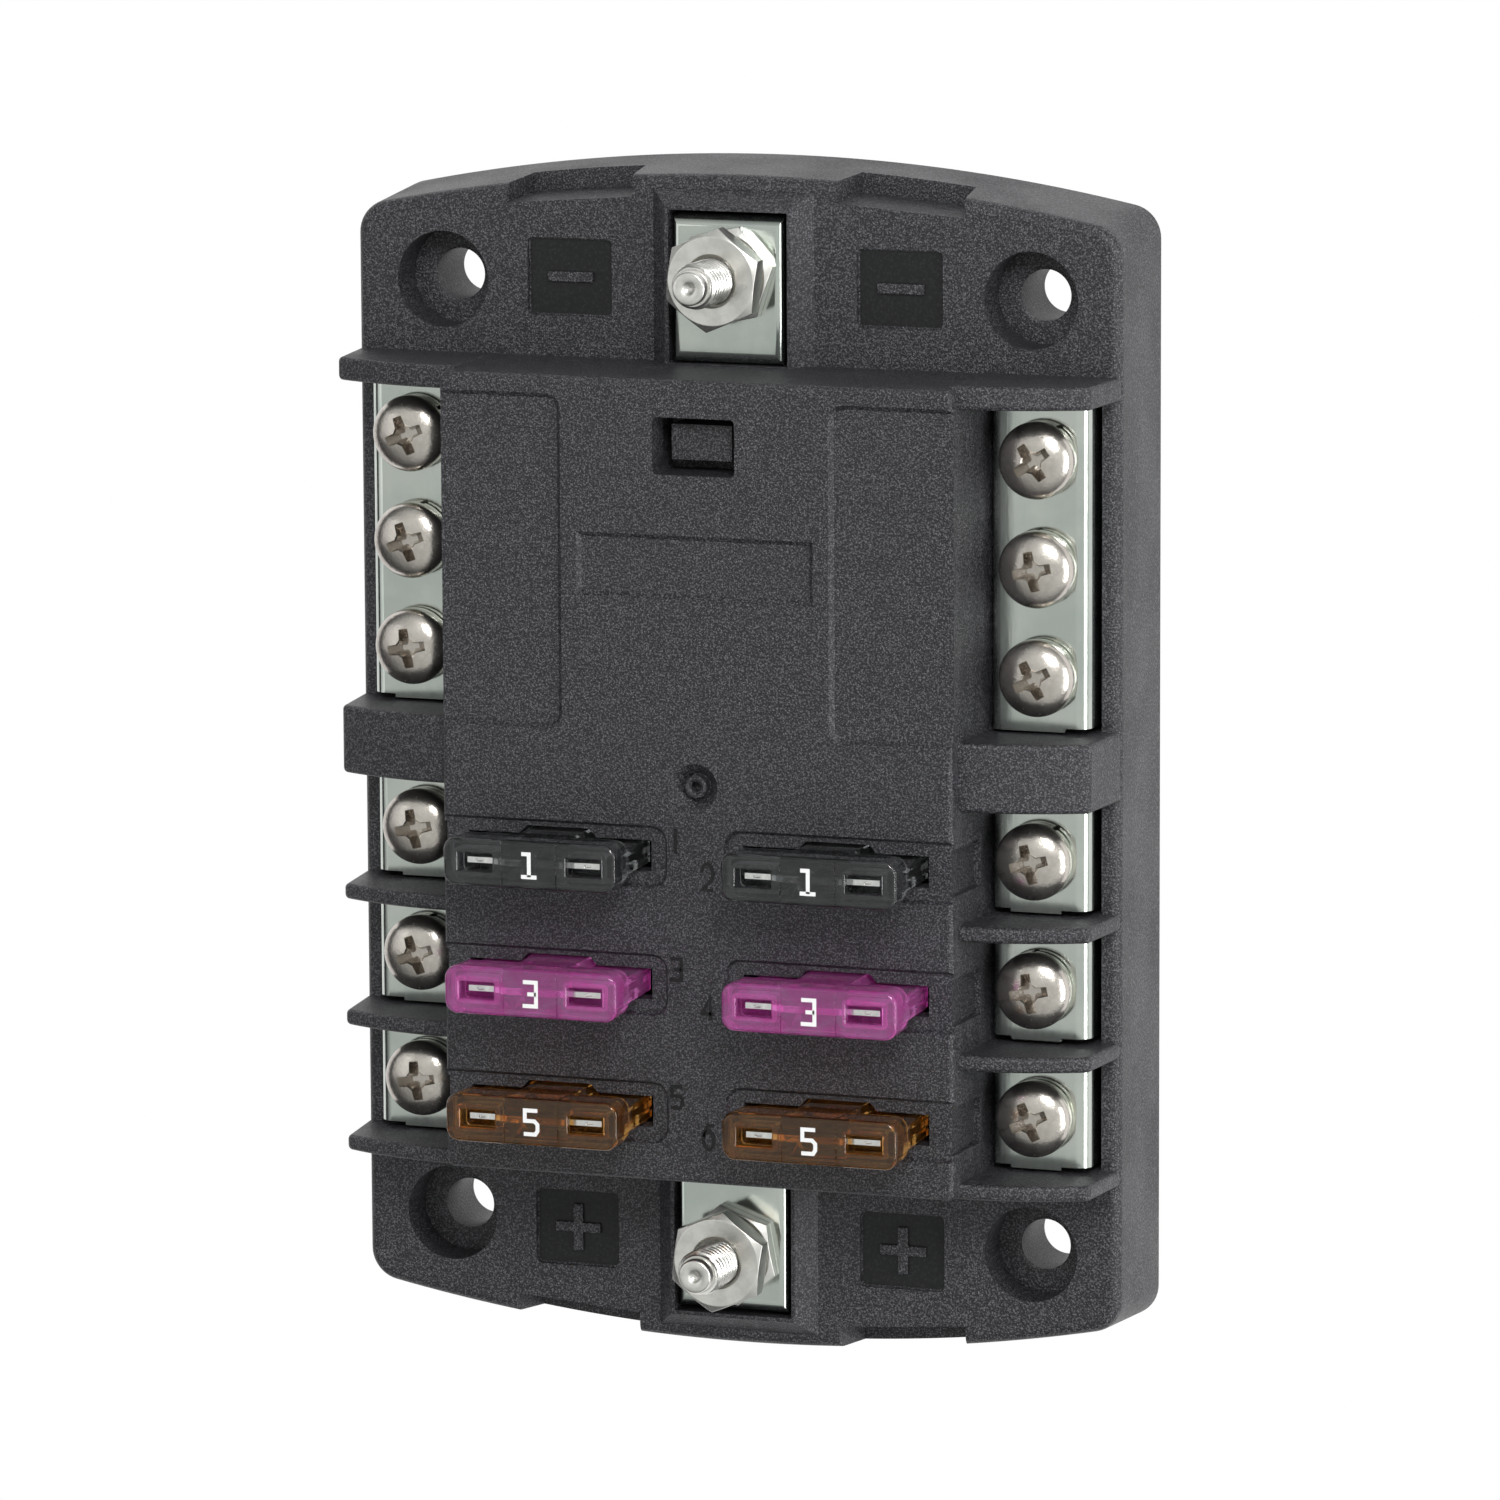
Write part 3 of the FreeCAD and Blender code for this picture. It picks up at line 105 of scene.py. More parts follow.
class HousingSizes(PropertyGroup):
    base_half_x: length("Base half width", 42.2, "Half width of the base at its shoulder")
    base_end_y: length("Base end", 62.3, "Furthest point of the arched ends at the shoulder")
    base_arch: length("Base arch", 196.0, "Radius of the arched ends")
    base_front: length("Base front", 13.1, "Height of the base's front face")
    base_draft_x: length("Base draft X", 0.3, "How far the sides lean out at the back")
    base_draft_y: length("Base draft Y", 0.9, "How far the ends lean out at the back")
    base_corner: length("Base corner", 3.5, "Radius of the base's corners")
    tower_half_x: length("Tower half width", 28.15, "Half width of the tower at its front")
    tower_draft_x: length("Tower draft X", 0.8, "How far the tower's sides lean out at its foot")
    tower_end_y: length("Tower end", 42.3, "Half length of the tower at its front")
    tower_draft_y: length("Tower draft Y", 0.3, "How far the tower's ends lean out at its foot")
    tower_front: length("Tower front", 25.9, "Height of the tower's front face")
    tower_corner: length("Tower corner", 0.8, "Radius of the tower's upright corners")
    flange_top_y: length("Flange top", 42.64, "Outer side of the top flange")
    flange_thick: length("Flange", 2.46, "Thickness of the top flange")
    block_top_y: length("Block top", 5.61, "Upper side of the middle block")
    block_thick: length("Block", 7.26, "Thickness of the middle block")
    divider_thick: length("Divider", 1.67, "Thickness of a thin divider")
    bay_pitch: length("Bay pitch", 13.6, "Distance between two output bays")
    divider_inner_x: length("Divider inner X", 28.0, "Where a divider's front curve starts")
    divider_inner_z: length("Divider inner Z", 24.2, "Height of a divider at the tower")
    divider_outer_x: length("Divider outer X", 41.4, "Where a divider's front curve ends")
    divider_outer_z: length("Divider outer Z", 20.9, "Height of a divider at its outer end")
    divider_curve: length("Divider curve", 30.0, "Radius of a divider's front")
    window_half_x: length("Window half width", 6.55, "Half width of a stud window")
    window_inner_y: length("Window inner Y", 42.6, "Edge of a stud window at the tower")
    window_outer_y: length("Window outer Y", 58.7, "Outer edge of a stud window")
    ridge_foot_x: length("Ridge foot X", 9.18, "Half width of the ridge at its foot")
    ridge_top_x: length("Ridge top X", 6.95, "Half width of the ridge at its top")
    ridge_front: length("Ridge front", 15.1, "Height of the ridge round a stud window")
    ridge_foot_y: length("Ridge foot Y", 61.0, "Outer end of the ridge at its foot")
    ridge_top_y: length("Ridge top Y", 59.1, "Outer end of the ridge at its top")
    mount_x: length("Mount X", 32.5, "Place of the mounting holes across")
    mount_y: length("Mount Y", 50.3, "Place of the mounting holes along")
    mount_hole_r: length("Mount hole", 2.7, "Radius of a mounting hole")
    mount_head_r: length("Mount counterbore", 5.1, "Radius of the counterbore")
    mount_seat: length("Mount seat", 8.1, "Height of the counterbore's floor")
    notch_inner_x: length("Notch inner X", 11.1, "Inner end of an end notch")
    notch_outer_x: length("Notch outer X", 25.4, "Outer end of an end notch")
    notch_near_y: length("Notch near Y", 58.5, "Wall of a notch at its outer end")
    notch_far_y: length("Notch far Y", 59.6, "Wall of a notch at its inner end")
    notch_floor: length("Notch floor", 6.75, "Height of a notch's ledge")
    notch_slant: length("Notch slant", 0.9, "How far a notch narrows towards its ledge")
    pad_inner_x: length("Pad inner X", 13.55, "Inner edge of a polarity pad")
    pad_outer_x: length("Pad outer X", 22.95, "Outer edge of a polarity pad")
    pad_low_y: length("Pad low Y", 46.85, "Edge of a polarity pad at the tower")
    pad_high_y: length("Pad high Y", 55.1, "Outer edge of a polarity pad")
    pad_deep: length("Pad depth", 0.5, "Depth of a polarity pad")
    pad_corner: length("Pad corner", 0.7, "Corner radius of a polarity pad")
    mark_long: length("Mark length", 5.1, "Length of a polarity mark's bar")
    mark_thick: length("Mark width", 1.1, "Width of a polarity mark's bar")
    mark_tall: length("Mark height", 0.4, "How far a polarity mark stands off its pad")
    seat_inner_x: length("Seat inner X", 3.5, "Inner end of a fuse seat")
    seat_half_y: length("Seat half height", 2.95, "Half height of a fuse seat")
    seat_deep: length("Seat depth", 0.5, "Depth of a fuse seat")
    seat_corner: length("Seat corner", 1.4, "Corner radius of a fuse seat")
    seat_drop: length("Seat drop", 0.2, "How far a fuse sits below its bay's middle")
    channel_half_y: length("Channel half height", 2.5, "Half height of the channel in the tower's side")
    channel_wall_x: length("Channel wall", 27.85, "Place of the channel's wall")
    channel_floor: length("Channel floor", 18.1, "Height of the channel's ledge")
    slot_inner_x: length("Slot inner X", 5.05, "Inner end of a fuse slot")
    slot_outer_x: length("Slot outer X", 25.4, "Outer end of a fuse slot")
    slot_half_y: length("Slot half height", 1.65, "Half height of a fuse slot")
    slot_bulge: length("Slot bulge", 0.87, "How far the slot widens at its middle")
    bulge_inner_x: length("Bulge inner X", 12.0, "Inner end of the slot's wide part")
    bulge_outer_x: length("Bulge outer X", 18.9, "Outer end of the slot's wide part")
    bulge_slant: length("Bulge slant", 0.8, "Slant of the wide part's ends")
    panel_inner_x: length("Panel inner X", 15.2, "Inner edge of a label panel")
    panel_low_y: length("Panel low Y", 5.7, "Lower edge of a label panel")
    panel_high_y: length("Panel high Y", 39.9, "Upper edge of a label panel")
    panel_deep: length("Panel depth", 0.5, "Depth of a label panel")
    panel_corner: length("Panel corner", 1.0, "Corner radius of a label panel")
    latch_half_x: length("Latch half width", 4.5, "Half width of the latch pocket")
    latch_low_y: length("Latch low Y", 32.4, "Lower edge of the latch pocket")
    latch_high_y: length("Latch high Y", 38.4, "Upper edge of the latch pocket")
    latch_floor: length("Latch floor", 19.4, "Height of the latch pocket's floor")
    tongue_half_x: length("Tongue half width", 3.3, "Half width of the block in the latch pocket")
    tongue_low_y: length("Tongue low Y", 33.7, "Lower edge of the block in the latch pocket")
    tongue_high_y: length("Tongue high Y", 37.4, "Upper edge of the block in the latch pocket")
    tongue_front: length("Tongue front", 23.2, "Height of the block in the latch pocket")
    plate_half_x: length("Plate half width", 13.0, "Half width of the bare plate")
    plate_low_y: length("Plate low Y", 19.4, "Lower edge of the bare plate")
    plate_high_y: length("Plate high Y", 26.1, "Upper edge of the bare plate")
    plate_deep: length("Plate depth", 0.45, "Depth of the bare plate")
    plate_bevel: length("Plate bevel", 0.5, "Width of the bare plate's sloping rim")
    dimple_y: length("Dimple Y", -0.2, "Place of the dimple along")
    dimple_r: length("Dimple", 2.45, "Radius of the dimple")
    dimple_deep: length("Dimple depth", 1.3, "Depth of the dimple")
    post_r: length("Post", 1.2, "Radius of the post in the dimple")
    post_hole_r: length("Post hole", 0.55, "Radius of the hole in the post")
    cavity_half_x: length("Cavity half width", 40.2, "Half width of the hollow underside")
    cavity_half_y: length("Cavity half length", 41.2, "Half length of the hollow underside")
    cavity_roof: length("Cavity roof", 10.9, "Height of the hollow underside's roof")
    end_cavity_half_x: length("End cavity half width", 8.0, "Half width of the hollow under a stud")
    end_cavity_y: length("End cavity end", 59.2, "Outer end of the hollow under a stud")
    ledge: length("Ledge", 1.0, "Width of the ledge that the back plate sits on")
    back_thick: length("Back plate", 1.6, "Thickness of the back plate")
    tower_roof: length("Tower roof", 3.0, "Thickness of the tower's front wall")
    cell_inner_x: length("Cell inner X", 4.6, "Inner side of the room under a fuse slot")
    cell_outer_x: length("Cell outer X", 26.0, "Outer side of the room under a fuse slot")
    cell_half_y: length("Cell half height", 5.9, "Half height of the room under a fuse slot")
    end_core_inner_x: length("Core inner X", 11.0, "Inner side of a moulding core")
    end_core_outer_x: length("Core outer X", 25.5, "Outer side of a moulding core")
    end_core_low_y: length("Core low Y", 44.0, "Side of a moulding core at the tower")
    end_core_high_y: length("Core high Y", 56.6, "Outer side of a moulding core")
    end_core_roof: length("Core roof", 10.4, "Height of a moulding core's roof")
    edge: length("Edge", 0.22, "Width of the rounding on the moulded edges")
    base_round: length("Base rounding", 1.15, "Radius round the front of the base")
    tower_round: length("Tower rounding", 0.6, "Radius round the front of the tower")
    wall_round: length("Wall rounding", 0.5, "Radius on the edges of the dividers")
    rim: length("Rim", 0.5, "Width of the slope round the panels and seats")
    digit_tall: length("Digit height", 2.6, "Height of a circuit's digit")
    digit_stroke: length("Digit stroke", 0.34, "Width of a digit's stroke")
    digit_raised: length("Digit relief", 0.12, "How far a digit stands off the tower")


class SheetSizes(PropertyGroup):
    thick: length("Sheet", 1.2, "Thickness of the sheet metal")
    bus_level: length("Bus level", 9.0, "Underside of the busses")
    leg_x: length("Leg X", 29.05, "Outer side of the leg beside the tower")
    roll: length("Roll", 1.5, "Outer radius of the rolled edge")
    foot: length("Foot", 11.4, "Height of the rolled edge's foot")
    ear_half_y: length("Ear half width", 5.65, "Half width of a platform at its screw")
    plate_half_y: length("Platform half width", 5.3, "Half width of a platform beside its screw")
    ear_inner_x: length("Ear inner X", 31.2, "Inner end of the wide part")
    ear_outer_x: length("Ear outer X", 36.7, "Outer end of the wide part")
    notch: length("Corner notch", 0.4, "Depth of the notches at the arms' corners")
    tab_inner_y: length("Tab inner Y", 42.75, "Side of a stud tab at the tower")
    bar_low_y: length("Bar low Y", 27.0, "Lower edge of the negative crossbar")
    bar_high_y: length("Bar high Y", 38.0, "Upper edge of the negative crossbar")
    positive_half_x: length("Positive half width", 13.4, "Half width of the positive bar")
    positive_low_y: length("Positive low Y", 40.6, "Lower edge of the positive bar")
    positive_high_y: length("Positive high Y", 3.6, "Upper edge of the positive bar")
    output_inner_x: length("Output inner X", 16.8, "Inner end of an output terminal's strip")
    jaw_gap: length("Jaw gap", 0.05, "Clearance between a blade and each leaf")
    jaw_thick: length("Jaw thickness", 0.7, "Thickness of a leaf")
    jaw_half_x: length("Jaw half width", 2.5, "Half width of a leaf")
    jaw_straight: length("Jaw straight", 20.4, "Height where a leaf starts to flare")
    jaw_tip: length("Jaw tip", 21.7, "Height of a leaf's tip")
    jaw_flare: length("Jaw flare", 0.85, "How far a leaf's tip flares")
    collar_r: length("Collar", 2.9, "Radius of the collar drawn under a screw hole")
    collar_tall: length("Collar height", 1.8, "Height of the drawn collar")
    edge: length("Sheet edge", 0.12, "Rounding of the sheet's edges")


class FastenerSizes(PropertyGroup):
    pitch: length("Thread pitch", 0.79375, "Pitch of the screws and studs")
    thread_deep: length("Thread depth", 0.42, "Depth of a thread")
    screw_r: length("Screw", 2.083, "Radius of a terminal screw's thread")
    head_r: length("Head", 4.05, "Radius of a terminal screw's head")
    head_wall: length("Head wall", 0.6, "Height of the upright wall of a head")
    recess_reach: length("Recess reach", 2.1, "Half length of the cross recess at its mouth")
    recess_web: length("Recess arm", 0.5, "Half width of a recess arm at its mouth")
    recess_deep: length("Recess depth", 1.75, "Depth of the cross recess")
    stud_r: length("Stud", 2.413, "Radius of a stud's thread")
    pilot_r: length("Pilot", 1.8, "Radius of a stud's plain tip")
    pilot_tall: length("Pilot height", 1.25, "Height of a stud's plain tip")
    nut_across: length("Nut", 9.53, "Distance across the flats of a nut")
    nut_chamfer: length("Nut chamfer", 0.55, "Height of the chamfer on a nut's corners")
    washer_gap: amount("Washer gap", 9.0, "Opening of a lock washer's split in degrees")


class FuseSizes(PropertyGroup):
    corner: length("Head corner", 1.4, "Corner radius of a fuse's head")
    head_edge: length("Head edge", 0.4, "Rounding round the top of a fuse's head")
    low_half_x: length("Lower half width", 9.2, "Half width of a fuse's lower body")
    low_half_y: length("Lower half thickness", 1.5, "Half thickness of a fuse's lower body")
    head_tall: length("Head height", 4.0, "Height of a fuse's head")
    bulge_half_x: length("Bulge half width", 3.0, "Half width of the thick part of the lower body")
    bulge_half_y: length("Bulge half thickness", 2.3, "Half thickness of the thick part of the lower body")
    test_x: length("Window X", 6.0, "Place of a test window")
    test_half_x: length("Window half width", 1.95, "Half width of a test window")
    test_half_y: length("Window half height", 0.93, "Half height of a test window")
    room_fit: length("Element fit", 0.05, "Clearance round the element")
    well_half_x: length("Well half width", 2.45, "Half width of the hollow under a test window")
    well_half_y: length("Well half thickness", 1.45, "Half thickness of the hollow under a test window")
    well_roof: length("Well roof", 0.75, "Thickness of the head's top over the hollow")
    digit_tall: length("Numeral height", 2.93, "Height of the printed numeral")
    digit_wide: length("Numeral width", 1.75, "Width of the printed numeral")
    digit_stroke: length("Numeral stroke", 0.42, "Width of the numeral's stroke")


class Finishes(PropertyGroup):
    housing_dark: colour("Housing", (0.0125, 0.0122, 0.015), "Ground of the textured housing")
    # Painted glints: the pale colour of each plastic stands in for light glancing off its grain
    housing_pale: colour("Housing flecks", (0.34, 0.335, 0.37), "Flecks of the textured housing")
    housing_smooth_dark: colour("Smooth", (0.008, 0.0082, 0.009), "Ground of the pads and digits")
    # Painted glints on the pads and digits
    housing_smooth_pale: colour("Smooth flecks", (0.05, 0.051, 0.054), "Flecks of the pads and digits")
    back_plate_dark: colour("Back plate", (0.014, 0.0145, 0.016), "Ground of the back plate")
    # Painted glints on the back plate
    back_plate_pale: colour("Back plate flecks", (0.09, 0.092, 0.098), "Flecks of the back plate")
    tinned_sheet_dark: colour("Tin dark", (0.50, 0.545, 0.51), "Darker clouds of the tinned sheet")
    tinned_sheet_pale: colour("Tin pale", (0.60, 0.635, 0.59), "Paler clouds of the tinned sheet")
    nickel_dark: colour("Nickel dark", (0.50, 0.465, 0.425), "Darker clouds of the terminal screws")
    nickel_pale: colour("Nickel pale", (0.66, 0.62, 0.57), "Paler clouds of the terminal screws")
    stud_nickel_dark: colour("Stud dark", (0.66, 0.65, 0.62), "Darker clouds of the studs and nuts")
    stud_nickel_pale: colour("Stud pale", (0.82, 0.81, 0.77), "Paler clouds of the studs and nuts")
    spring_steel_dark: colour("Washer dark", (0.72, 0.69, 0.60), "Darker clouds of the lock washers")
    spring_steel_pale: colour("Washer pale", (0.86, 0.84, 0.78), "Paler clouds of the lock washers")
    fuse_metal_dark: colour("Element dark", (0.74, 0.74, 0.73), "Darker clouds of the fuse elements")
    fuse_metal_pale: colour("Element pale", (0.90, 0.90, 0.88), "Paler clouds of the fuse elements")
    fuse_black_dark: colour("Black dark", (0.26, 0.27, 0.28), "Darker flow marks of the black fuses")
    fuse_black_pale: colour("Black pale", (0.42, 0.43, 0.44), "Paler flow marks of the black fuses")
    fuse_black_clear: amount("Black clear", 0.97, "How clear the black fuses are")
    fuse_violet_dark: colour("Violet dark", (1.0, 0.20, 0.74), "Darker flow marks of the violet fuses")
    fuse_violet_pale: colour("Violet pale", (1.0, 0.36, 0.86), "Paler flow marks of the violet fuses")
    fuse_violet_clear: amount("Violet clear", 0.84, "How clear the violet fuses are")
    fuse_amber_dark: colour("Amber dark", (0.62, 0.27, 0.06), "Darker flow marks of the amber fuses")
    fuse_amber_pale: colour("Amber pale", (0.82, 0.44, 0.12), "Paler flow marks of the amber fuses")
    fuse_amber_clear: amount("Amber clear", 0.97, "How clear the amber fuses are")
    numeral_ink_dark: colour("Ink dark", (0.82, 0.82, 0.82), "Thinner parts of the numerals' ink")
    numeral_ink_pale: colour("Ink pale", (0.98, 0.98, 0.98), "Thicker parts of the numerals' ink")
    shade: colour("Shade", (0.045, 0.045, 0.048), "Surroundings on the dark side")
    glow: colour("Glow", (0.80, 0.82, 0.80), "Surroundings on the bright side")


class StageSettings(PropertyGroup):
    azimuth: amount("Azimuth", 19.54, "Camera angle towards +X from straight ahead, in degrees")
    elevation: amount("Elevation", 9.71, "Camera angle towards +Y from straight ahead, in degrees")
    roll: amount("Roll", -0.29, "Camera roll in degrees")
    distance: length("Distance", 1002.23, "Distance from the camera to its target")
    target: FloatVectorProperty(name="Target", description="Point that the camera looks at",
                                default=(-0.00312, -0.00065, 0.0), subtype="XYZ", unit="LENGTH")
    focal: amount("Focal length", 225.88, "Focal length in millimetres on a 36 mm sensor")
    sky: amount("Sky", 0.9, "Brightness of the soft surroundings")
    bright_side: FloatVectorProperty(name="Bright side", subtype="DIRECTION", default=(0.30, 0.12, 0.95),
                                     description="Direction of the brightest surroundings")
    key: amount("Key", 3.4, "Power of the soft light at the upper right")
    side: amount("Side", 2.8, "Power of the soft light at the right")
    fill: amount("Fill", 0.5, "Power of the soft light at the left")


class FuseBlockSettings(PropertyGroup):
    housing: PointerProperty(type=HousingSizes)
    sheet: PointerProperty(type=SheetSizes)
    fasteners: PointerProperty(type=FastenerSizes)
    fuses: PointerProperty(type=FuseSizes)
    finish: PointerProperty(type=Finishes)
    stage: PointerProperty(type=StageSettings)


def settings():
    """Return the add-on's settings."""
    return bpy.context.scene.fuse_block


# Places

def half_bay():
    """Return half the height of an output bay."""
    size = settings().housing
    return (size.bay_pitch - size.divider_thick) / 2


def bay_y(row):
    """Return the middle of one output bay."""
    size = settings().housing
    return size.block_top_y - size.block_thick - half_bay() - row * size.bay_pitch


def fuse_y(row):
    """Return the middle line of one fuse."""
    return bay_y(row) - settings().housing.seat_drop


def centre(node):
    """Return the middle of a node's box."""
    low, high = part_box(node)
    return (low + high) / 2


def circuit(index):
    """Return the side and the row of a circuit, counted from 1."""
    return (1 if index % 2 == 0 else -1), (index - 1) // 2


# Meshes

PLANES = {
    "xy": lambda u, v, w: (u, v, w),
    "xz": lambda u, v, w: (u, w, v),
    "yz": lambda u, v, w: (w, u, v),
}


def finish_mesh(bm, name, smooth_angle=35):
    """Turn a bmesh into an object, shaded smooth with edges sharper than an angle kept sharp."""
    bmesh.ops.recalc_face_normals(bm, faces=bm.faces)
    mesh = bpy.data.meshes.new(name)
    bm.to_mesh(mesh)
    bm.free()
    mesh.shade_smooth()
    mesh.set_sharp_from_angle(angle=math.radians(smooth_angle))
    item = bpy.data.objects.new(name, mesh)
    bpy.context.scene.collection.objects.link(item)
    return item


def take_mesh(item):
    """Return a piece's mesh and drop the piece."""
    mesh = item.data
    bpy.data.objects.remove(item)
    return mesh


def loft(bm, sections, plane="xy"):
    """Add a closed solid through outlines of equal count, each with its level along the plane's normal."""
    place = PLANES[plane]
    rings = [[bm.verts.new(place(u, v, level)) for u, v in outline] for outline, level in sections]
    count = len(rings[0])
    for low, high in zip(rings, rings[1:]):
        for index in range(count):
            after = (index + 1) % count
            bm.faces.new((low[index], low[after], high[after], high[index]))
    bm.faces.new(rings[0][::-1])
    bm.faces.new(rings[-1])


def prism(bm, outline, low, high, plane="xy"):
    """Add a straight solid on an outline."""
    loft(bm, [(outline, low), (outline, high)], plane)


def box(bm, x_range, y_range, z_range):
    """Add a box."""
    prism(bm, rectangle(x_range, y_range), *z_range)


def rectangle(x_range, y_range):
    """Return the outline of a rectangle."""
    (left, right), (low, high) = sorted(x_range), sorted(y_range)
    return [(left, low), (right, low), (right, high), (left, high)]


def arc(x, y, radius, start, end, steps):
    """Return points on an arc, with angles in degrees."""
    turns = [math.radians(start + (end - start) * step / steps) for step in range(steps + 1)]
    return [(x + radius * math.cos(turn), y + radius * math.sin(turn)) for turn in turns]


def round_rectangle(x_range, y_range, radius, steps=8):
    """Return the outline of a rectangle with round corners."""
    (left, right), (low, high) = sorted(x_range), sorted(y_range)
    return (arc(right - radius, low + radius, radius, -90, 0, steps)
            + arc(right - radius, high - radius, radius, 0, 90, steps)
            + arc(left + radius, high - radius, radius, 90, 180, steps)
            + arc(left + radius, low + radius, radius, 180, 270, steps))


def centred(half_x, half_y, corner, steps=8):
    """Return a round-cornered outline about the origin."""
    return round_rectangle((-half_x, half_x), (-half_y, half_y), corner, steps)


def four_turns(corner):
    """Return an outline made of a corner's points, turned by each quarter."""
    outline = []
    for turn in range(4):
        spin = Matrix.Rotation(math.radians(90 * turn), 2)
        outline += [tuple(spin @ Vector(point)) for point in corner]
    return outline


def disc(x, y, radius, steps=64):
    """Return the outline of a circle."""
    return arc(x, y, radius, 0, 360, steps)[:-1]


def lathe(bm, profile, steps=64, centre_xy=(0, 0)):
    """Add a solid turned about Z from a profile of (radius, z) that starts and ends on the axis."""
    x, y = centre_xy
    low = bm.verts.new((x, y, profile[0][1]))
    high = bm.verts.new((x, y, profile[-1][1]))
    rings = []
    for radius, z in profile[1:-1]:
        rings.append([bm.verts.new((px, py, z)) for px, py in disc(x, y, radius, steps)])
    for index in range(steps):
        after = (index + 1) % steps
        bm.faces.new((low, rings[0][after], rings[0][index]))
        bm.faces.new((high, rings[-1][index], rings[-1][after]))
        for under, over in zip(rings, rings[1:]):
            bm.faces.new((under[index], under[after], over[after], over[index]))


def boolean(item, build, operation="DIFFERENCE"):
    """Add to, cut from or keep inside a piece the solids that a function builds."""
    bm = bmesh.new()
    build(bm)
    tool = finish_mesh(bm, "tool")
    change = item.modifiers.new("change", "BOOLEAN")
    change.object = tool
    change.operation = operation
    change.solver = "MANIFOLD"
    keep_modifiers(item)
    bpy.data.meshes.remove(take_mesh(tool))


def keep_modifiers(item):
    """Make the result of a piece's modifiers its mesh."""
    graph = bpy.context.evaluated_depsgraph_get()
    mesh = bpy.data.meshes.new_from_object(item.evaluated_get(graph), depsgraph=graph)
    old = item.data
    item.modifiers.clear()
    item.data = mesh
    bpy.data.meshes.remove(old)


def soften(item, width, segments=3, angle=28):
    """Round the sharp edges of a piece."""
    bevel = item.modifiers.new("edges", "BEVEL")
    bevel.width = width
    bevel.segments = segments
    bevel.limit_method = "ANGLE"
    bevel.angle_limit = math.radians(angle)
    bevel.miter_outer = "MITER_ARC"
    bevel.use_clamp_overlap = True
    bevel.harden_normals = True
    keep_modifiers(item)
    item.data.shade_smooth()
    normals = item.modifiers.new("normals", "WEIGHTED_NORMAL")
    normals.keep_sharp = True


def ribbon(points, width):
    """Return the outline of a stroke of constant width along open points."""
    left, right = [], []
    path = [Vector(point) for point in points]
    for index, point in enumerate(path):
        before = (point - path[index - 1]).normalized() if index else None
        after = (path[index + 1] - point).normalized() if index < len(path) - 1 else None
        heading = ((before or after) + (after or before)).normalized()
        normal = Vector((-heading.y, heading.x))
        edge = Vector((-(before or after).y, (before or after).x))
        reach = width / 2 / max(normal.dot(edge), 0.5)
        left.append(tuple(point + normal * reach))
        right.append(tuple(point - normal * reach))
    return left + right[::-1]


# Strokes of the digits in a box one unit wide and one unit tall
DIGITS = {
    "bar": [[(0.5, 0.0), (0.5, 1.0)]],
    "1": [[(0.05, 0.9), (0.52, 0.9), (0.52, 0.08)], [(0.02, 0.08), (1.0, 0.08)]],
    "2": [arc(0.5, 0.72, 0.42, 170, -35, 12) + [(0.08, 0.07), (0.95, 0.07)]],
    "3": [[(0.08, 0.93), (0.9, 0.93), (0.9, 0.07), (0.05, 0.07)], [(0.35, 0.5), (0.9, 0.5)]],
    "4": [[(0.95, 0.27), (0.08, 0.27), (0.68, 0.97), (0.68, 0.0)]],
    "5": [[(0.92, 0.93), (0.12, 0.93), (0.12, 0.55), (0.72, 0.55), (0.92, 0.43), (0.92, 0.2),
           (0.78, 0.07), (0.05, 0.07)]],
    "6": [[(0.85, 0.92), (0.45, 0.92), (0.12, 0.6), (0.1, 0.25)] + arc(0.5, 0.31, 0.38, 200, 520, 18)],
}


def digit(bm, text, x, y, wide, tall, stroke, low, high):
    """Add the strokes of a digit centred on a point."""
    for points in DIGITS[text]:
        path = [(x + (u - 0.5) * wide, y + (v - 0.5) * tall) for u, v in points]
        outline = ribbon(path, stroke)
        half = len(outline) // 2
        for index in range(half - 1):
            quad = [outline[index], outline[index + 1], outline[-index - 2], outline[-index - 1]]
            prism(bm, quad, low, high)


# Materials

def node(tree, kind, **inputs):
    """Add a shader node and set its inputs by name."""
    item = tree.nodes.new(kind)
    for name, value in inputs.items():
        item.inputs[name.replace("_", " ")].default_value = value
    return item


def new_group(name, inputs, outputs):
    """Start a shader node group with float, colour or vector sockets."""
    group = bpy.data.node_groups.new(name, "ShaderNodeTree")
    for label, kind in inputs:
        group.interface.new_socket(name=label, in_out="INPUT", socket_type=kind)
    for label, kind in outputs:
        group.interface.new_socket(name=label, in_out="OUTPUT", socket_type=kind)
    return group, group.nodes.new("NodeGroupInput"), group.nodes.new("NodeGroupOutput")


def ramp(tree, low, high, low_value=0.0, high_value=1.0):
    """Add a smooth step from one value to another between two factors."""
    step = node(tree, "ShaderNodeMapRange")
    step.interpolation_type = "SMOOTHSTEP"
    step.inputs["From Min"].default_value = low
    step.inputs["From Max"].default_value = high
    step.inputs["To Min"].default_value = low_value
    step.inputs["To Max"].default_value = high_value
    return step


def multiply(tree, first, second):
    """Multiply two factors and return the product's socket."""
    item = node(tree, "ShaderNodeMath")
    item.operation = "MULTIPLY"
    tree.links.new(first, item.inputs[0])
    tree.links.new(second, item.inputs[1])
    return item.outputs["Value"]


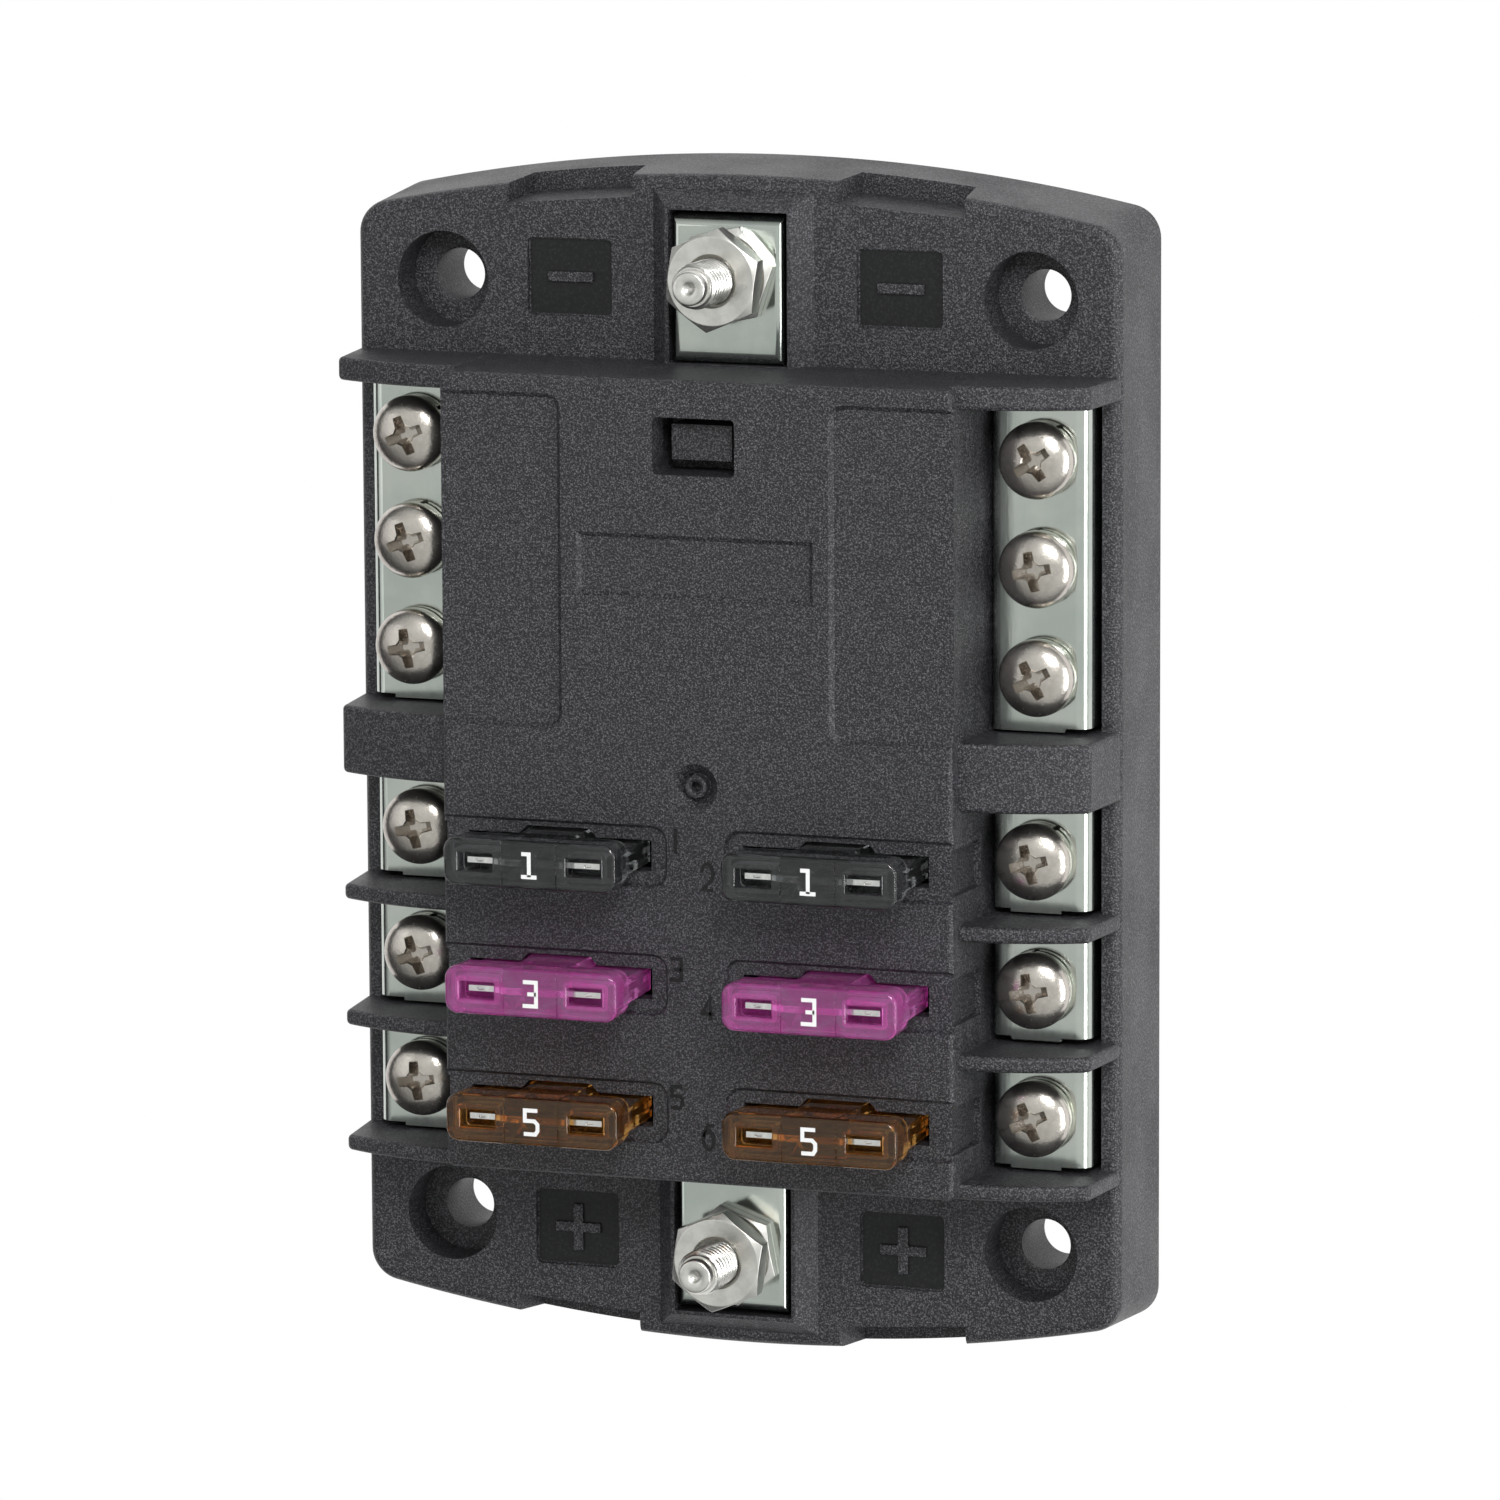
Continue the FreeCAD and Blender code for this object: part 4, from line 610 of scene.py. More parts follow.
def grain_group():
    """Return the effect of a spark-eroded mould: fine pits, soft blotches, and painted glints, which are pale
    specks in the colour that stand in for light glancing off the grain.
    """
    group, enter, leave = new_group(
        "MouldedGrain",
        [("Size", "NodeSocketFloat"), ("Relief", "NodeSocketFloat"), ("Flecks", "NodeSocketFloat")],
        [("Fleck", "NodeSocketFloat"), ("Roughness", "NodeSocketFloat"), ("Normal", "NodeSocketVector")])
    links = group.links
    place = node(group, "ShaderNodeTexCoord")
    fine = node(group, "ShaderNodeTexNoise", Detail=2.0, Roughness=0.6)
    cells = node(group, "ShaderNodeTexVoronoi")
    for texture in (fine, cells):
        links.new(place.outputs["Object"], texture.inputs["Vector"])
        links.new(enter.outputs["Size"], texture.inputs["Scale"])

    # Painted glints: pale dots at the middle of some of the cells, standing in for light glancing off the
    # grain
    dot = ramp(group, 0.12, 0.46, 1.0, 0.0)
    links.new(cells.outputs["Distance"], dot.inputs["Value"])
    part = node(group, "ShaderNodeSeparateColor")
    links.new(cells.outputs["Color"], part.inputs["Color"])
    chosen = ramp(group, 0.2, 0.95)
    links.new(part.outputs["Red"], chosen.inputs["Value"])
    painted_glint = multiply(group, dot.outputs["Result"], chosen.outputs["Result"])

    # Fainter painted glints at the peaks of the fine noise, kept where they outshine the dots
    faint_painted_glint = ramp(group, 0.46, 0.72, 0.0, 0.62)
    links.new(fine.outputs["Fac"], faint_painted_glint.inputs["Value"])
    either = node(group, "ShaderNodeMath")
    either.operation = "MAXIMUM"
    links.new(painted_glint, either.inputs[0])
    links.new(faint_painted_glint.outputs["Result"], either.inputs[1])
    some = multiply(group, either.outputs["Value"], enter.outputs["Flecks"])
    links.new(some, leave.inputs["Fleck"])

    # Broad patches of uneven gloss, and relief from the fine noise
    broad = node(group, "ShaderNodeTexNoise", Scale=90.0, Detail=2.0)
    links.new(place.outputs["Object"], broad.inputs["Vector"])
    rough = ramp(group, 0.3, 0.7, 0.40, 0.52)
    links.new(broad.outputs["Fac"], rough.inputs["Value"])
    links.new(rough.outputs["Result"], leave.inputs["Roughness"])
    bump = node(group, "ShaderNodeBump", Distance=0.0001)
    links.new(fine.outputs["Fac"], bump.inputs["Height"])
    links.new(enter.outputs["Relief"], bump.inputs["Strength"])
    links.new(bump.outputs["Normal"], leave.inputs["Normal"])
    return group


def mottle_group(name, grain, relief):
    """Return the effect of handled metal: faint cloudy tint, fine marks and uneven polish."""
    group, enter, leave = new_group(
        name,
        [("Clouds", "NodeSocketFloat"), ("Smooth", "NodeSocketFloat"), ("Worn", "NodeSocketFloat")],
        [("Cloud", "NodeSocketFloat"), ("Roughness", "NodeSocketFloat"), ("Normal", "NodeSocketVector")])
    links = group.links
    place = node(group, "ShaderNodeTexCoord")
    cloud = node(group, "ShaderNodeTexNoise", Detail=4.0, Roughness=0.55)
    links.new(place.outputs["Object"], cloud.inputs["Vector"])
    links.new(enter.outputs["Clouds"], cloud.inputs["Scale"])
    spread = ramp(group, 0.35, 0.68)
    links.new(cloud.outputs["Fac"], spread.inputs["Value"])
    links.new(spread.outputs["Result"], leave.inputs["Cloud"])
    stretch = node(group, "ShaderNodeMapping")
    stretch.inputs["Scale"].default_value = grain
    links.new(place.outputs["Object"], stretch.inputs["Vector"])
    scratch = node(group, "ShaderNodeTexNoise", Scale=1.0, Detail=2.0)
    links.new(stretch.outputs["Vector"], scratch.inputs["Vector"])
    rough = node(group, "ShaderNodeMapRange")
    links.new(scratch.outputs["Fac"], rough.inputs["Value"])
    links.new(enter.outputs["Smooth"], rough.inputs["To Min"])
    links.new(enter.outputs["Worn"], rough.inputs["To Max"])
    links.new(rough.outputs["Result"], leave.inputs["Roughness"])
    bump = node(group, "ShaderNodeBump", Strength=relief, Distance=0.0001)
    links.new(scratch.outputs["Fac"], bump.inputs["Height"])
    links.new(bump.outputs["Normal"], leave.inputs["Normal"])
    return group


def surface(name):
    """Return the material of this name that the scene made, never the frame's plain one."""
    return bpy.data.materials[f"{name}_surface"]


def new_material(name):
    """Start a material and return it with its tree and shader."""
    material = bpy.data.materials.new(f"{name}_surface")
    material.use_nodes = True
    tree = material.node_tree
    shader = tree.nodes["Principled BSDF"]
    return material, tree, shader


def shades(name):
    """Return the dark and the pale colour of a finish."""
    finish = settings().finish
    return getattr(finish, f"{name}_dark"), getattr(finish, f"{name}_pale")


def tint(tree, factor, low, high, target):
    """Mix two colours by a factor into a colour input."""
    mix = node(tree, "ShaderNodeMix")
    mix.data_type = "RGBA"
    mix.inputs["A"].default_value = (*low, 1)
    mix.inputs["B"].default_value = (*high, 1)
    tree.links.new(factor, mix.inputs["Factor"])
    tree.links.new(mix.outputs["Result"], target)


def use_group(tree, group, **inputs):
    """Add a group to a material."""
    item = tree.nodes.new("ShaderNodeGroup")
    item.node_tree = group
    for name, value in inputs.items():
        item.inputs[name].default_value = value
    return item


def moulded_plastic(name, group, size, relief, painted_glints, specular=0.45):
    """Make a textured dark plastic whose pale colour is painted in as glints of light off its grain."""
    _, tree, shader = new_material(name)
    shader.inputs["Specular IOR Level"].default_value = specular
    grain = use_group(tree, group, Size=size, Relief=relief, Flecks=painted_glints)
    # Painted glints: the pale colour stands in for light glancing off the grain
    tint(tree, grain.outputs["Fleck"], *shades(name), shader.inputs["Base Color"])
    tree.links.new(grain.outputs["Roughness"], shader.inputs["Roughness"])
    tree.links.new(grain.outputs["Normal"], shader.inputs["Normal"])


def plated_metal(name, group, clouds, smooth, worn):
    """Make a plated metal."""
    _, tree, shader = new_material(name)
    shader.inputs["Metallic"].default_value = 1.0
    handled = use_group(tree, group, Clouds=clouds, Smooth=smooth, Worn=worn)
    tint(tree, handled.outputs["Cloud"], *shades(name), shader.inputs["Base Color"])
    tree.links.new(handled.outputs["Roughness"], shader.inputs["Roughness"])
    tree.links.new(handled.outputs["Normal"], shader.inputs["Normal"])


def fuse_plastic(name):
    """Make a tinted see-through plastic with faint flow marks."""
    _, tree, shader = new_material(name)
    shader.inputs["IOR"].default_value = 1.5
    shader.inputs["Transmission Weight"].default_value = getattr(settings().finish, f"{name}_clear")
    place = node(tree, "ShaderNodeTexCoord")
    flow = node(tree, "ShaderNodeTexNoise", Scale=420.0, Detail=3.0, Distortion=1.2)
    tree.links.new(place.outputs["Object"], flow.inputs["Vector"])
    spread = ramp(tree, 0.35, 0.7)
    tree.links.new(flow.outputs["Fac"], spread.inputs["Value"])
    tint(tree, spread.outputs["Result"], *shades(name), shader.inputs["Base Color"])
    rough = ramp(tree, 0.3, 0.8, 0.02, 0.07)
    tree.links.new(flow.outputs["Fac"], rough.inputs["Value"])
    tree.links.new(rough.outputs["Result"], shader.inputs["Roughness"])


def printed_white(name):
    """Make the white ink of the numerals, slightly uneven."""
    _, tree, shader = new_material(name)
    place = node(tree, "ShaderNodeTexCoord")
    uneven = node(tree, "ShaderNodeTexNoise", Scale=2500.0, Detail=2.0)
    tree.links.new(place.outputs["Object"], uneven.inputs["Vector"])
    tint(tree, uneven.outputs["Fac"], *shades(name), shader.inputs["Base Color"])
    shader.inputs["Roughness"].default_value = 0.5


def make_materials():
    """Make every material of the object once."""
    grain = grain_group()
    rolled = mottle_group("RolledSheet", (2600.0, 320.0, 900.0), 0.05)
    tumbled = mottle_group("TumbledPlate", (3000.0, 2800.0, 2900.0), 0.16)
    # The last number of each plastic sets the strength of its painted glints
    moulded_plastic("housing", grain, size=4600.0, relief=1.0, painted_glints=0.5)
    moulded_plastic("housing_smooth", grain, size=2600.0, relief=0.1, painted_glints=0.3, specular=0.3)
    moulded_plastic("back_plate", grain, size=2400.0, relief=0.3, painted_glints=0.4)
    plated_metal("tinned_sheet", rolled, clouds=120.0, smooth=0.10, worn=0.20)
    plated_metal("nickel", tumbled, clouds=300.0, smooth=0.20, worn=0.30)
    plated_metal("stud_nickel", tumbled, clouds=500.0, smooth=0.24, worn=0.38)
    plated_metal("spring_steel", rolled, clouds=260.0, smooth=0.12, worn=0.25)
    plated_metal("fuse_metal", tumbled, clouds=900.0, smooth=0.16, worn=0.3)
    for name in ("fuse_black", "fuse_violet", "fuse_amber"):
        fuse_plastic(name)
    printed_white("numeral_ink")


def finish_piece(item, material, body, slot, *nodes):
    """Give a piece its material and body, and hide the nodes that it stands for; its slot is not used."""
    item.data.materials.clear()
    item.data.materials.append(surface(material))
    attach(item, body)
    if nodes:
        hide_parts(*nodes)


# Housing

def round_steps(radius, steps=5):
    """Return how far in and how far down each step round an edge lies."""
    turns = [math.pi / 2 * step / steps for step in range(steps + 1)]
    return [(radius * (1 - math.cos(turn)), radius * (1 - math.sin(turn))) for turn in turns]


def base_outline(half_x, end_y, arch, corner):
    """Return the base's outline: straight sides, arched ends and round corners tangent to both."""
    arch_y = end_y - arch
    corner_x = half_x - corner
    rise = math.sqrt((arch - corner) ** 2 - corner_x ** 2)
    corner_y = arch_y + rise
    turn = math.degrees(math.atan2(rise, corner_x))
    quarter = arc(corner_x, corner_y, corner, 0, turn, 10) + arc(0, arch_y, arch, turn, 90, 24)[1:]
    half = quarter + [(-x, y) for x, y in reversed(quarter[:-1])]
    return half + [(-x, -y) for x, y in half]


def divider_outline(side):
    """Return the side view of a divider."""
    size = settings().housing
    start = Vector((size.divider_outer_x, size.divider_outer_z))
    end = Vector((size.divider_inner_x, size.divider_inner_z))
    chord = end - start
    sag = math.sqrt(size.divider_curve ** 2 - (chord.length / 2) ** 2)
    middle = (start + end) / 2 + Vector((-chord.y, chord.x)).normalized() * sag
    angles = [math.degrees(math.atan2(p.y - middle.y, p.x - middle.x)) for p in (start, end)]
    curve = arc(middle.x, middle.y, size.divider_curve, angles[0], angles[1], 14)
    root_x = size.divider_inner_x - OVER
    foot = size.base_front - OVER / 2
    outline = [(root_x, foot), (size.base_half_x, foot)] + curve + [(root_x, size.divider_inner_z)]
    return [(side * x, z) for x, z in outline]


def add_dividers(bm):
    """Add the flanges, blocks and thin walls beside the tower."""
    size = settings().housing
    walls = [(size.flange_top_y, size.flange_thick), (size.block_top_y, size.block_thick)]
    walls += [(bay_y(row) - half_bay(), size.divider_thick) for row in ROWS]
    rough = bmesh.new()
    for side in SIDES:
        for top, thick in walls:
            prism(rough, divider_outline(side), top - thick, top, "xz")
    tool = finish_mesh(rough, "walls")
    soften(tool, size.wall_round, 5)
    keep_modifiers(tool)
    bm.from_mesh(take_mesh(tool))


def add_ridges(bm):
    """Add the ridges round the stud windows."""
    size = settings().housing
    inner, sink = size.tower_end_y - OVER, 0.3 * MM
    levels = ((size.ridge_foot_x, size.ridge_foot_y, size.base_front - sink),
              (size.ridge_top_x, size.ridge_top_y, size.ridge_front))
    for side in SIDES:
        loft(bm, [(rectangle((-half_x, half_x), (side * inner, side * end_y)), level)
                  for half_x, end_y, level in levels])


def pad_outline(side, end, inset):
    """Return the outline of a polarity pad, drawn in all round."""
    size = settings().housing
    across = (side * (size.pad_inner_x + inset), side * (size.pad_outer_x - inset))
    along = (end * (size.pad_low_y + inset), end * (size.pad_high_y - inset))
    return round_rectangle(across, along, size.pad_corner - inset)


def plus_outline(grow):
    """Return the outline of the hollow underside, grown all round."""
    size = settings().housing
    wide, tall = size.cavity_half_x + grow, size.cavity_half_y + grow
    neck, end = size.end_cavity_half_x + grow, size.end_cavity_y + grow
    quarter = [(wide, tall), (neck, tall), (neck, end)]
    half = quarter + [(-x, y) for x, y in reversed(quarter)]
    return half + [(-x, -y) for x, y in half]


def slot_outline(side, row):
    """Return the outline of a fuse slot, wider at its middle."""
    size = settings().housing
    wide = size.slot_half_y + size.slot_bulge
    upper = [
        (size.slot_outer_x, size.slot_half_y),
        (size.bulge_outer_x + size.bulge_slant, size.slot_half_y),
        (size.bulge_outer_x, wide),
        (size.bulge_inner_x, wide),
        (size.bulge_inner_x - size.bulge_slant, size.slot_half_y),
        (size.slot_inner_x, size.slot_half_y),
    ]
    around = upper + [(x, -y) for x, y in reversed(upper)]
    return [(side * x, fuse_y(row) + y) for x, y in around]


def open_recess(side, inner, low, high, corner, grow):
    """Return a recess that is open at the tower's side and has two round corners inside, grown all round."""
    beyond = settings().housing.tower_half_x + 2 * MM
    inner, low, high, corner = inner - grow, low - grow, high + grow, corner + grow
    outline = [(beyond, low), (beyond, high)]
    outline += arc(inner + corner, high - corner, corner, 90, 180, 8)
    outline += arc(inner + corner, low + corner, corner, 180, 270, 8)
    return [(side * x, y) for x, y in outline]


def cut_base(item):
    """Cut the stud windows, mounting holes, notches, polarity pads and moulding cores."""
    size = settings().housing

    def windows(bm):
        for end in SIDES:
            box(bm, (-size.window_half_x, size.window_half_x),
                (end * size.window_inner_y, end * size.window_outer_y),
                (size.cavity_roof - OVER, size.ridge_front + OVER))

    def holes(bm):
        flare, flare_deep = 0.55 * MM, 0.25 * MM
        for side, end in CORNERS:
            x, y = side * size.mount_x, end * size.mount_y
            hole, seat = disc(x, y, size.mount_hole_r), disc(x, y, size.mount_head_r)
            rim = disc(x, y, size.mount_hole_r + flare)
            loft(bm, [(hole, -OVER), (hole, size.mount_seat - flare_deep), (rim, size.mount_seat),
                      (seat, size.mount_seat), (seat, size.base_front + OVER)])

    def notches(bm):
        past_end, lean_share = size.base_end_y + 2 * MM, 0.7
        for side, end in CORNERS:
            sections = []
            for level, slant in ((size.notch_floor, size.notch_slant), (size.base_front + OVER, 0)):
                lean = slant * lean_share
                inner, outer = size.notch_inner_x + slant, size.notch_outer_x - slant
                corners = [(inner, size.notch_far_y + lean), (outer, size.notch_near_y + lean),
                           (outer, past_end), (inner, past_end)]
                sections.append(([(side * x, end * y) for x, y in corners], level))
            loft(bm, sections)

    def pads(bm):
        for side, end in CORNERS:
            prism(bm, pad_outline(side, end, 0), size.base_front - size.pad_deep, size.base_front + OVER)

    def cores(bm):
        for side, end in CORNERS:
            box(bm, (side * size.end_core_inner_x, side * size.end_core_outer_x),
                (end * size.end_core_low_y, end * size.end_core_high_y), (-OVER, size.end_core_roof))

    for build in (windows, holes, notches, pads, cores):
        boolean(item, build)


def cut_tower(item):
    """Cut the seats, channels, slots, panels, latch pocket, bare plate and dimple."""
    size = settings().housing
    front = size.tower_front
    top = front + OVER
    beyond = size.tower_half_x + 2 * MM
    dimple_floor = front - size.dimple_deep
    sink = OVER / 2

    def sloped(bm, deep, rim, *recess):
        """Add a shallow open recess whose walls slope out by rim at the tower's front."""
        spread = rim * (top - front + deep) / deep
        loft(bm, [(open_recess(*recess, 0), front - deep), (open_recess(*recess, spread), top)])

    def seats(bm):
        rim = size.rim * 0.7
        for side, row in BAYS:
            mid = fuse_y(row)
            sloped(bm, size.seat_deep, rim, side, size.seat_inner_x,
                   mid - size.seat_half_y, mid + size.seat_half_y, size.seat_corner)

    def channels(bm):
        for side, row in BAYS:
            mid = fuse_y(row)
            box(bm, (side * size.channel_wall_x, side * beyond),
                (mid - size.channel_half_y, mid + size.channel_half_y), (size.channel_floor, top))

    def slots(bm):
        for side, row in BAYS:
            prism(bm, slot_outline(side, row), front - size.tower_roof - OVER, top)

    def panels(bm):
        for side in SIDES:
            sloped(bm, size.panel_deep, size.rim, side, size.panel_inner_x,
                   size.panel_low_y, size.panel_high_y, size.panel_corner)

    def latch(bm):
        corner, steps = 0.5 * MM, 4
        outline = round_rectangle((-size.latch_half_x, size.latch_half_x),
                                  (size.latch_low_y, size.latch_high_y), corner, steps)
        prism(bm, outline, size.latch_floor, top)

    def plate(bm):
        spread = size.plate_bevel * (OVER + size.plate_deep) / size.plate_deep
        sections = []
        for level, inset in ((front - size.plate_deep, size.plate_bevel), (top, size.plate_bevel - spread)):
            wide = size.plate_half_x - inset
            along = (size.plate_low_y + inset, size.plate_high_y - inset)
            sections.append((rectangle((-wide, wide), along), level))
        loft(bm, sections)

    def dimple(bm):
        floor_r = size.post_r + 0.1 * MM
        lathe(bm, [(0, dimple_floor), (floor_r, dimple_floor), (size.dimple_r, front),
                   (size.dimple_r, top), (0, top)], 48, (0, size.dimple_y))

    def tongue(bm):
        box(bm, (-size.tongue_half_x, size.tongue_half_x), (size.tongue_low_y, size.tongue_high_y),
            (size.latch_floor - sink, size.tongue_front))

    def post(bm):
        low, bevel = dimple_floor - sink, 0.15 * MM
        lathe(bm, [(0, low), (size.post_r, low), (size.post_r, front - bevel), (size.post_r - bevel, front),
                   (0, front)], 40, (0, size.dimple_y))

    def post_hole(bm):
        mouth_r, mouth_deep = size.post_r - 0.35 * MM, 0.3 * MM
        wall_deep, point_deep = 1.5 * MM, 1.6 * MM
        lathe(bm, [(0, front - point_deep), (size.post_hole_r, front - wall_deep),
                   (size.post_hole_r, front - mouth_deep), (mouth_r, front), (mouth_r, top), (0, top)],
              40, (0, size.dimple_y))

    for build in (seats, channels, slots, panels, latch, plate, dimple):
        boolean(item, build)
    boolean(item, tongue, "UNION")
    boolean(item, post, "UNION")
    boolean(item, post_hole)


def hollow_underside(item):
    """Hollow the housing from the back and open the bays above the metal."""
    size = settings().housing
    tower_side = size.tower_half_x + size.tower_draft_x

    def rebate(bm):
        prism(bm, plus_outline(size.ledge), -OVER, size.back_thick)

    def cavity(bm):
        prism(bm, plus_outline(0), -OVER, size.cavity_roof)

    def cells(bm):
        for side, row in BAYS:
            mid = fuse_y(row)
            box(bm, (side * size.cell_inner_x, side * size.cell_outer_x),
                (mid - size.cell_half_y, mid + size.cell_half_y),
                (size.cavity_roof - OVER, size.tower_front - size.tower_roof))

    def bays(bm):
        levels = (size.cavity_roof - OVER, size.base_front + OVER)
        for side in SIDES:
            across = (side * tower_side, side * size.cavity_half_x)
            for row in ROWS:
                box(bm, across, (bay_y(row) - half_bay(), bay_y(row) + half_bay()), levels)
            box(bm, across, (size.block_top_y, size.flange_top_y - size.flange_thick), levels)

    for build in (rebate, cavity, cells, bays):
        boolean(item, build)


def build_housing():
    """Build the moulded housing."""
    size = settings().housing
    inside = 0.05 * MM
    foot = base_outline(size.base_half_x + size.base_draft_x, size.base_end_y + size.base_draft_y - inside,
                        size.base_arch, size.base_corner)
    sections = [(foot, 0)]
    for inset, drop in round_steps(size.base_round):
        outline = base_outline(size.base_half_x - inset, size.base_end_y - inset, size.base_arch - inset,
                               size.base_corner - inset)
        sections.append((outline, size.base_front - drop))
    bm = bmesh.new()
    loft(bm, sections)
    item = finish_mesh(bm, "housing_moulding")

    def tower(bm):
        sink, corner_share = 0.2 * MM, 0.6
        foot = centred(size.tower_half_x + size.tower_draft_x, size.tower_end_y + size.tower_draft_y,
                       size.tower_corner)
        levels = [(foot, size.base_front - sink)]
        for inset, drop in round_steps(size.tower_round):
            outline = centred(size.tower_half_x - inset, size.tower_end_y - inset,
                              size.tower_corner - inset * corner_share)
            levels.append((outline, size.tower_front - drop))
        loft(bm, levels)

    for build in (tower, add_dividers, add_ridges):
        boolean(item, build, "UNION")
    cut_base(item)
    cut_tower(item)
    hollow_underside(item)
    soften(item, size.edge)
    finish_piece(item, "housing", ROOT, "housing", "housing")
    build_pad_floors()
    build_marks()
    build_circuit_digits()


def build_pad_floors():
    """Lay the smooth floors of the polarity pads."""
    size = settings().housing
    inset, below, above = 0.2 * MM, 0.02 * MM, 0.015 * MM
    level = size.base_front - size.pad_deep
    bm = bmesh.new()
    for side, end in CORNERS:
        prism(bm, pad_outline(side, end, inset), level - below, level + above)
    item = finish_mesh(bm, "pad_floors")
    finish_piece(item, "housing_smooth", ROOT, "housing")


def build_marks():
    """Raise the minus and plus marks on their pads."""
    size = settings().housing
    level = size.base_front - size.pad_deep
    x = (size.pad_inner_x + size.pad_outer_x) / 2
    y = (size.pad_low_y + size.pad_high_y) / 2
    reach, half, edge = size.mark_long / 2, size.mark_thick / 2, 0.12 * MM
    plus = four_turns([(reach, -half), (reach, half), (half, half)])
    bm = bmesh.new()
    for side in SIDES:
        box(bm, (side * x - reach, side * x + reach), (y - half, y + half), (level, level + size.mark_tall))
        prism(bm, [(side * x + u, -y + v) for u, v in plus], level, level + size.mark_tall)
    item = finish_mesh(bm, "polarity_marks")
    soften(item, edge, 2)
    finish_piece(item, "housing", ROOT, "housing")


def build_circuit_digits():
    """Raise the circuits' digits beside the seats."""
    size = settings().housing
    wide, sink = 1.45 * MM, 0.05 * MM
    places = {-1: (-2.2 * MM, 1.85 * MM), 1: (1.3 * MM, -2.05 * MM)}
    bm = bmesh.new()
    for index in FUSES:
        side, row = circuit(index)
        x, lift = places[side]
        text = "bar" if index == 1 else str(index)
        digit(bm, text, x, fuse_y(row) + lift, wide, size.digit_tall, size.digit_stroke,
              size.tower_front - sink, size.tower_front + size.digit_raised)
    item = finish_mesh(bm, "circuit_digits")
    finish_piece(item, "housing_smooth", ROOT, "housing")


# Sheet metal

def strip_points(inner, start, outer, front, side=1):
    """Return the outline of a strip that runs under the tower, up, across its platform and down."""
    size = settings().sheet
    thick, roll = size.thick, size.roll
    small = thick * 0.45
    low, leg = size.bus_level, start
    top = arc(leg + thick, front - thick, thick, 180, 90, 6)
    top += arc(outer - roll, front - roll, roll, 90, 0, 12) + [(outer, size.foot), (outer - thick, size.foot)]
    top += arc(outer - roll, front - roll, roll - thick, 0, 90, 6)
    top += [(leg + thick, front - thick)]
    top += arc(leg + thick - small, low + small, small, 0, -90, 4)
    outline = [(inner, low + thick), (leg, low + thick)] + top + [(inner, low)]
    return [(side * x, z) for x, z in outline]


def add_jaws(bm, x_range, mid):
    """Add the two spring leaves that grip a blade."""
    size = settings().sheet
    blade_low, blade_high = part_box("fuse_1_element")
    inner = (blade_high.y - blade_low.y) / 2 + size.jaw_gap
    outer = inner + size.jaw_thick
    foot, straight, tip = size.bus_level + 0.1 * MM, size.jaw_straight, size.jaw_tip
    leaf = [(inner, foot), (outer, foot), (outer, straight),
            (outer + size.jaw_flare, tip), (inner + size.jaw_flare, tip), (inner, straight)]
    for side in SIDES:
        prism(bm, [(mid + side * y, z) for y, z in leaf], *sorted(x_range), "yz")


def blade_x():
    """Return where the inner and outer blades stand, as distances from the middle."""
    low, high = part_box("fuse_2_element")
    half_blade = 2.6 * MM
    return low.x + half_blade, high.x - half_blade


def drill(item, places, front):
    """Add drawn collars and bore the screw holes."""
    size = settings().sheet
    bore_r, bore_deep = settings().fasteners.screw_r + 0.05 * MM, 4 * MM

    def collars(bm):
        for x, y in places:
            prism(bm, disc(x, y, size.collar_r, 40), front - size.thick - size.collar_tall,
                  front - size.thick / 2)

    def bores(bm):
        for x, y in places:
            prism(bm, disc(x, y, bore_r, 40), front - bore_deep, front + OVER)

    boolean(item, collars, "UNION")
    boolean(item, bores)


def build_output_terminal(index):
    """Build one output terminal."""
    size = settings().sheet
    name = f"output_terminal_{index}"
    side, row = circuit(index)
    low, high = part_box(name)
    outer = max(abs(low.x), abs(high.x))
    screw = abs(centre(f"output_screw_{index}").x)
    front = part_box(f"output_washer_{index}")[0].z
    mid = bay_y(row)
    bm = bmesh.new()
    prism(bm, strip_points(size.output_inner_x, size.leg_x, outer, front, side),
          mid - size.plate_half_y, mid + size.plate_half_y, "xz")
    item = finish_mesh(bm, f"output_terminal_{index}_sheet")

    def ears(bm):
        box(bm, (side * size.ear_inner_x, side * size.ear_outer_x),
            (mid - size.ear_half_y, mid + size.ear_half_y), (front - size.thick, front))

    def jaws(bm):
        _, outer_blade = blade_x()
        add_jaws(bm, (side * (outer_blade - size.jaw_half_x), side * (outer_blade + size.jaw_half_x)),
                 fuse_y(row))

    boolean(item, ears, "UNION")
    boolean(item, jaws, "UNION")
    drill(item, [(side * screw, mid)], front)
    soften(item, size.edge, 2, 40)
    finish_piece(item, "tinned_sheet", ROOT, "tinned_sheet", name)


def add_tab(bm, end):
    """Add a stud tab with its leg and the strip under the tower."""
    size = settings().sheet
    low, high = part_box("negative_bus" if end > 0 else "positive_bus")
    outer = max(abs(low.y), abs(high.y))
    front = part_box("jam_nut_negative")[0].z
    inner = (size.bar_high_y if end > 0 else size.positive_low_y) - 2 * MM
    points = strip_points(inner, size.tab_inner_y, outer, front)
    prism(bm, [(end * y, z) for y, z in points], -TAB_HALF_X, TAB_HALF_X, "yz")


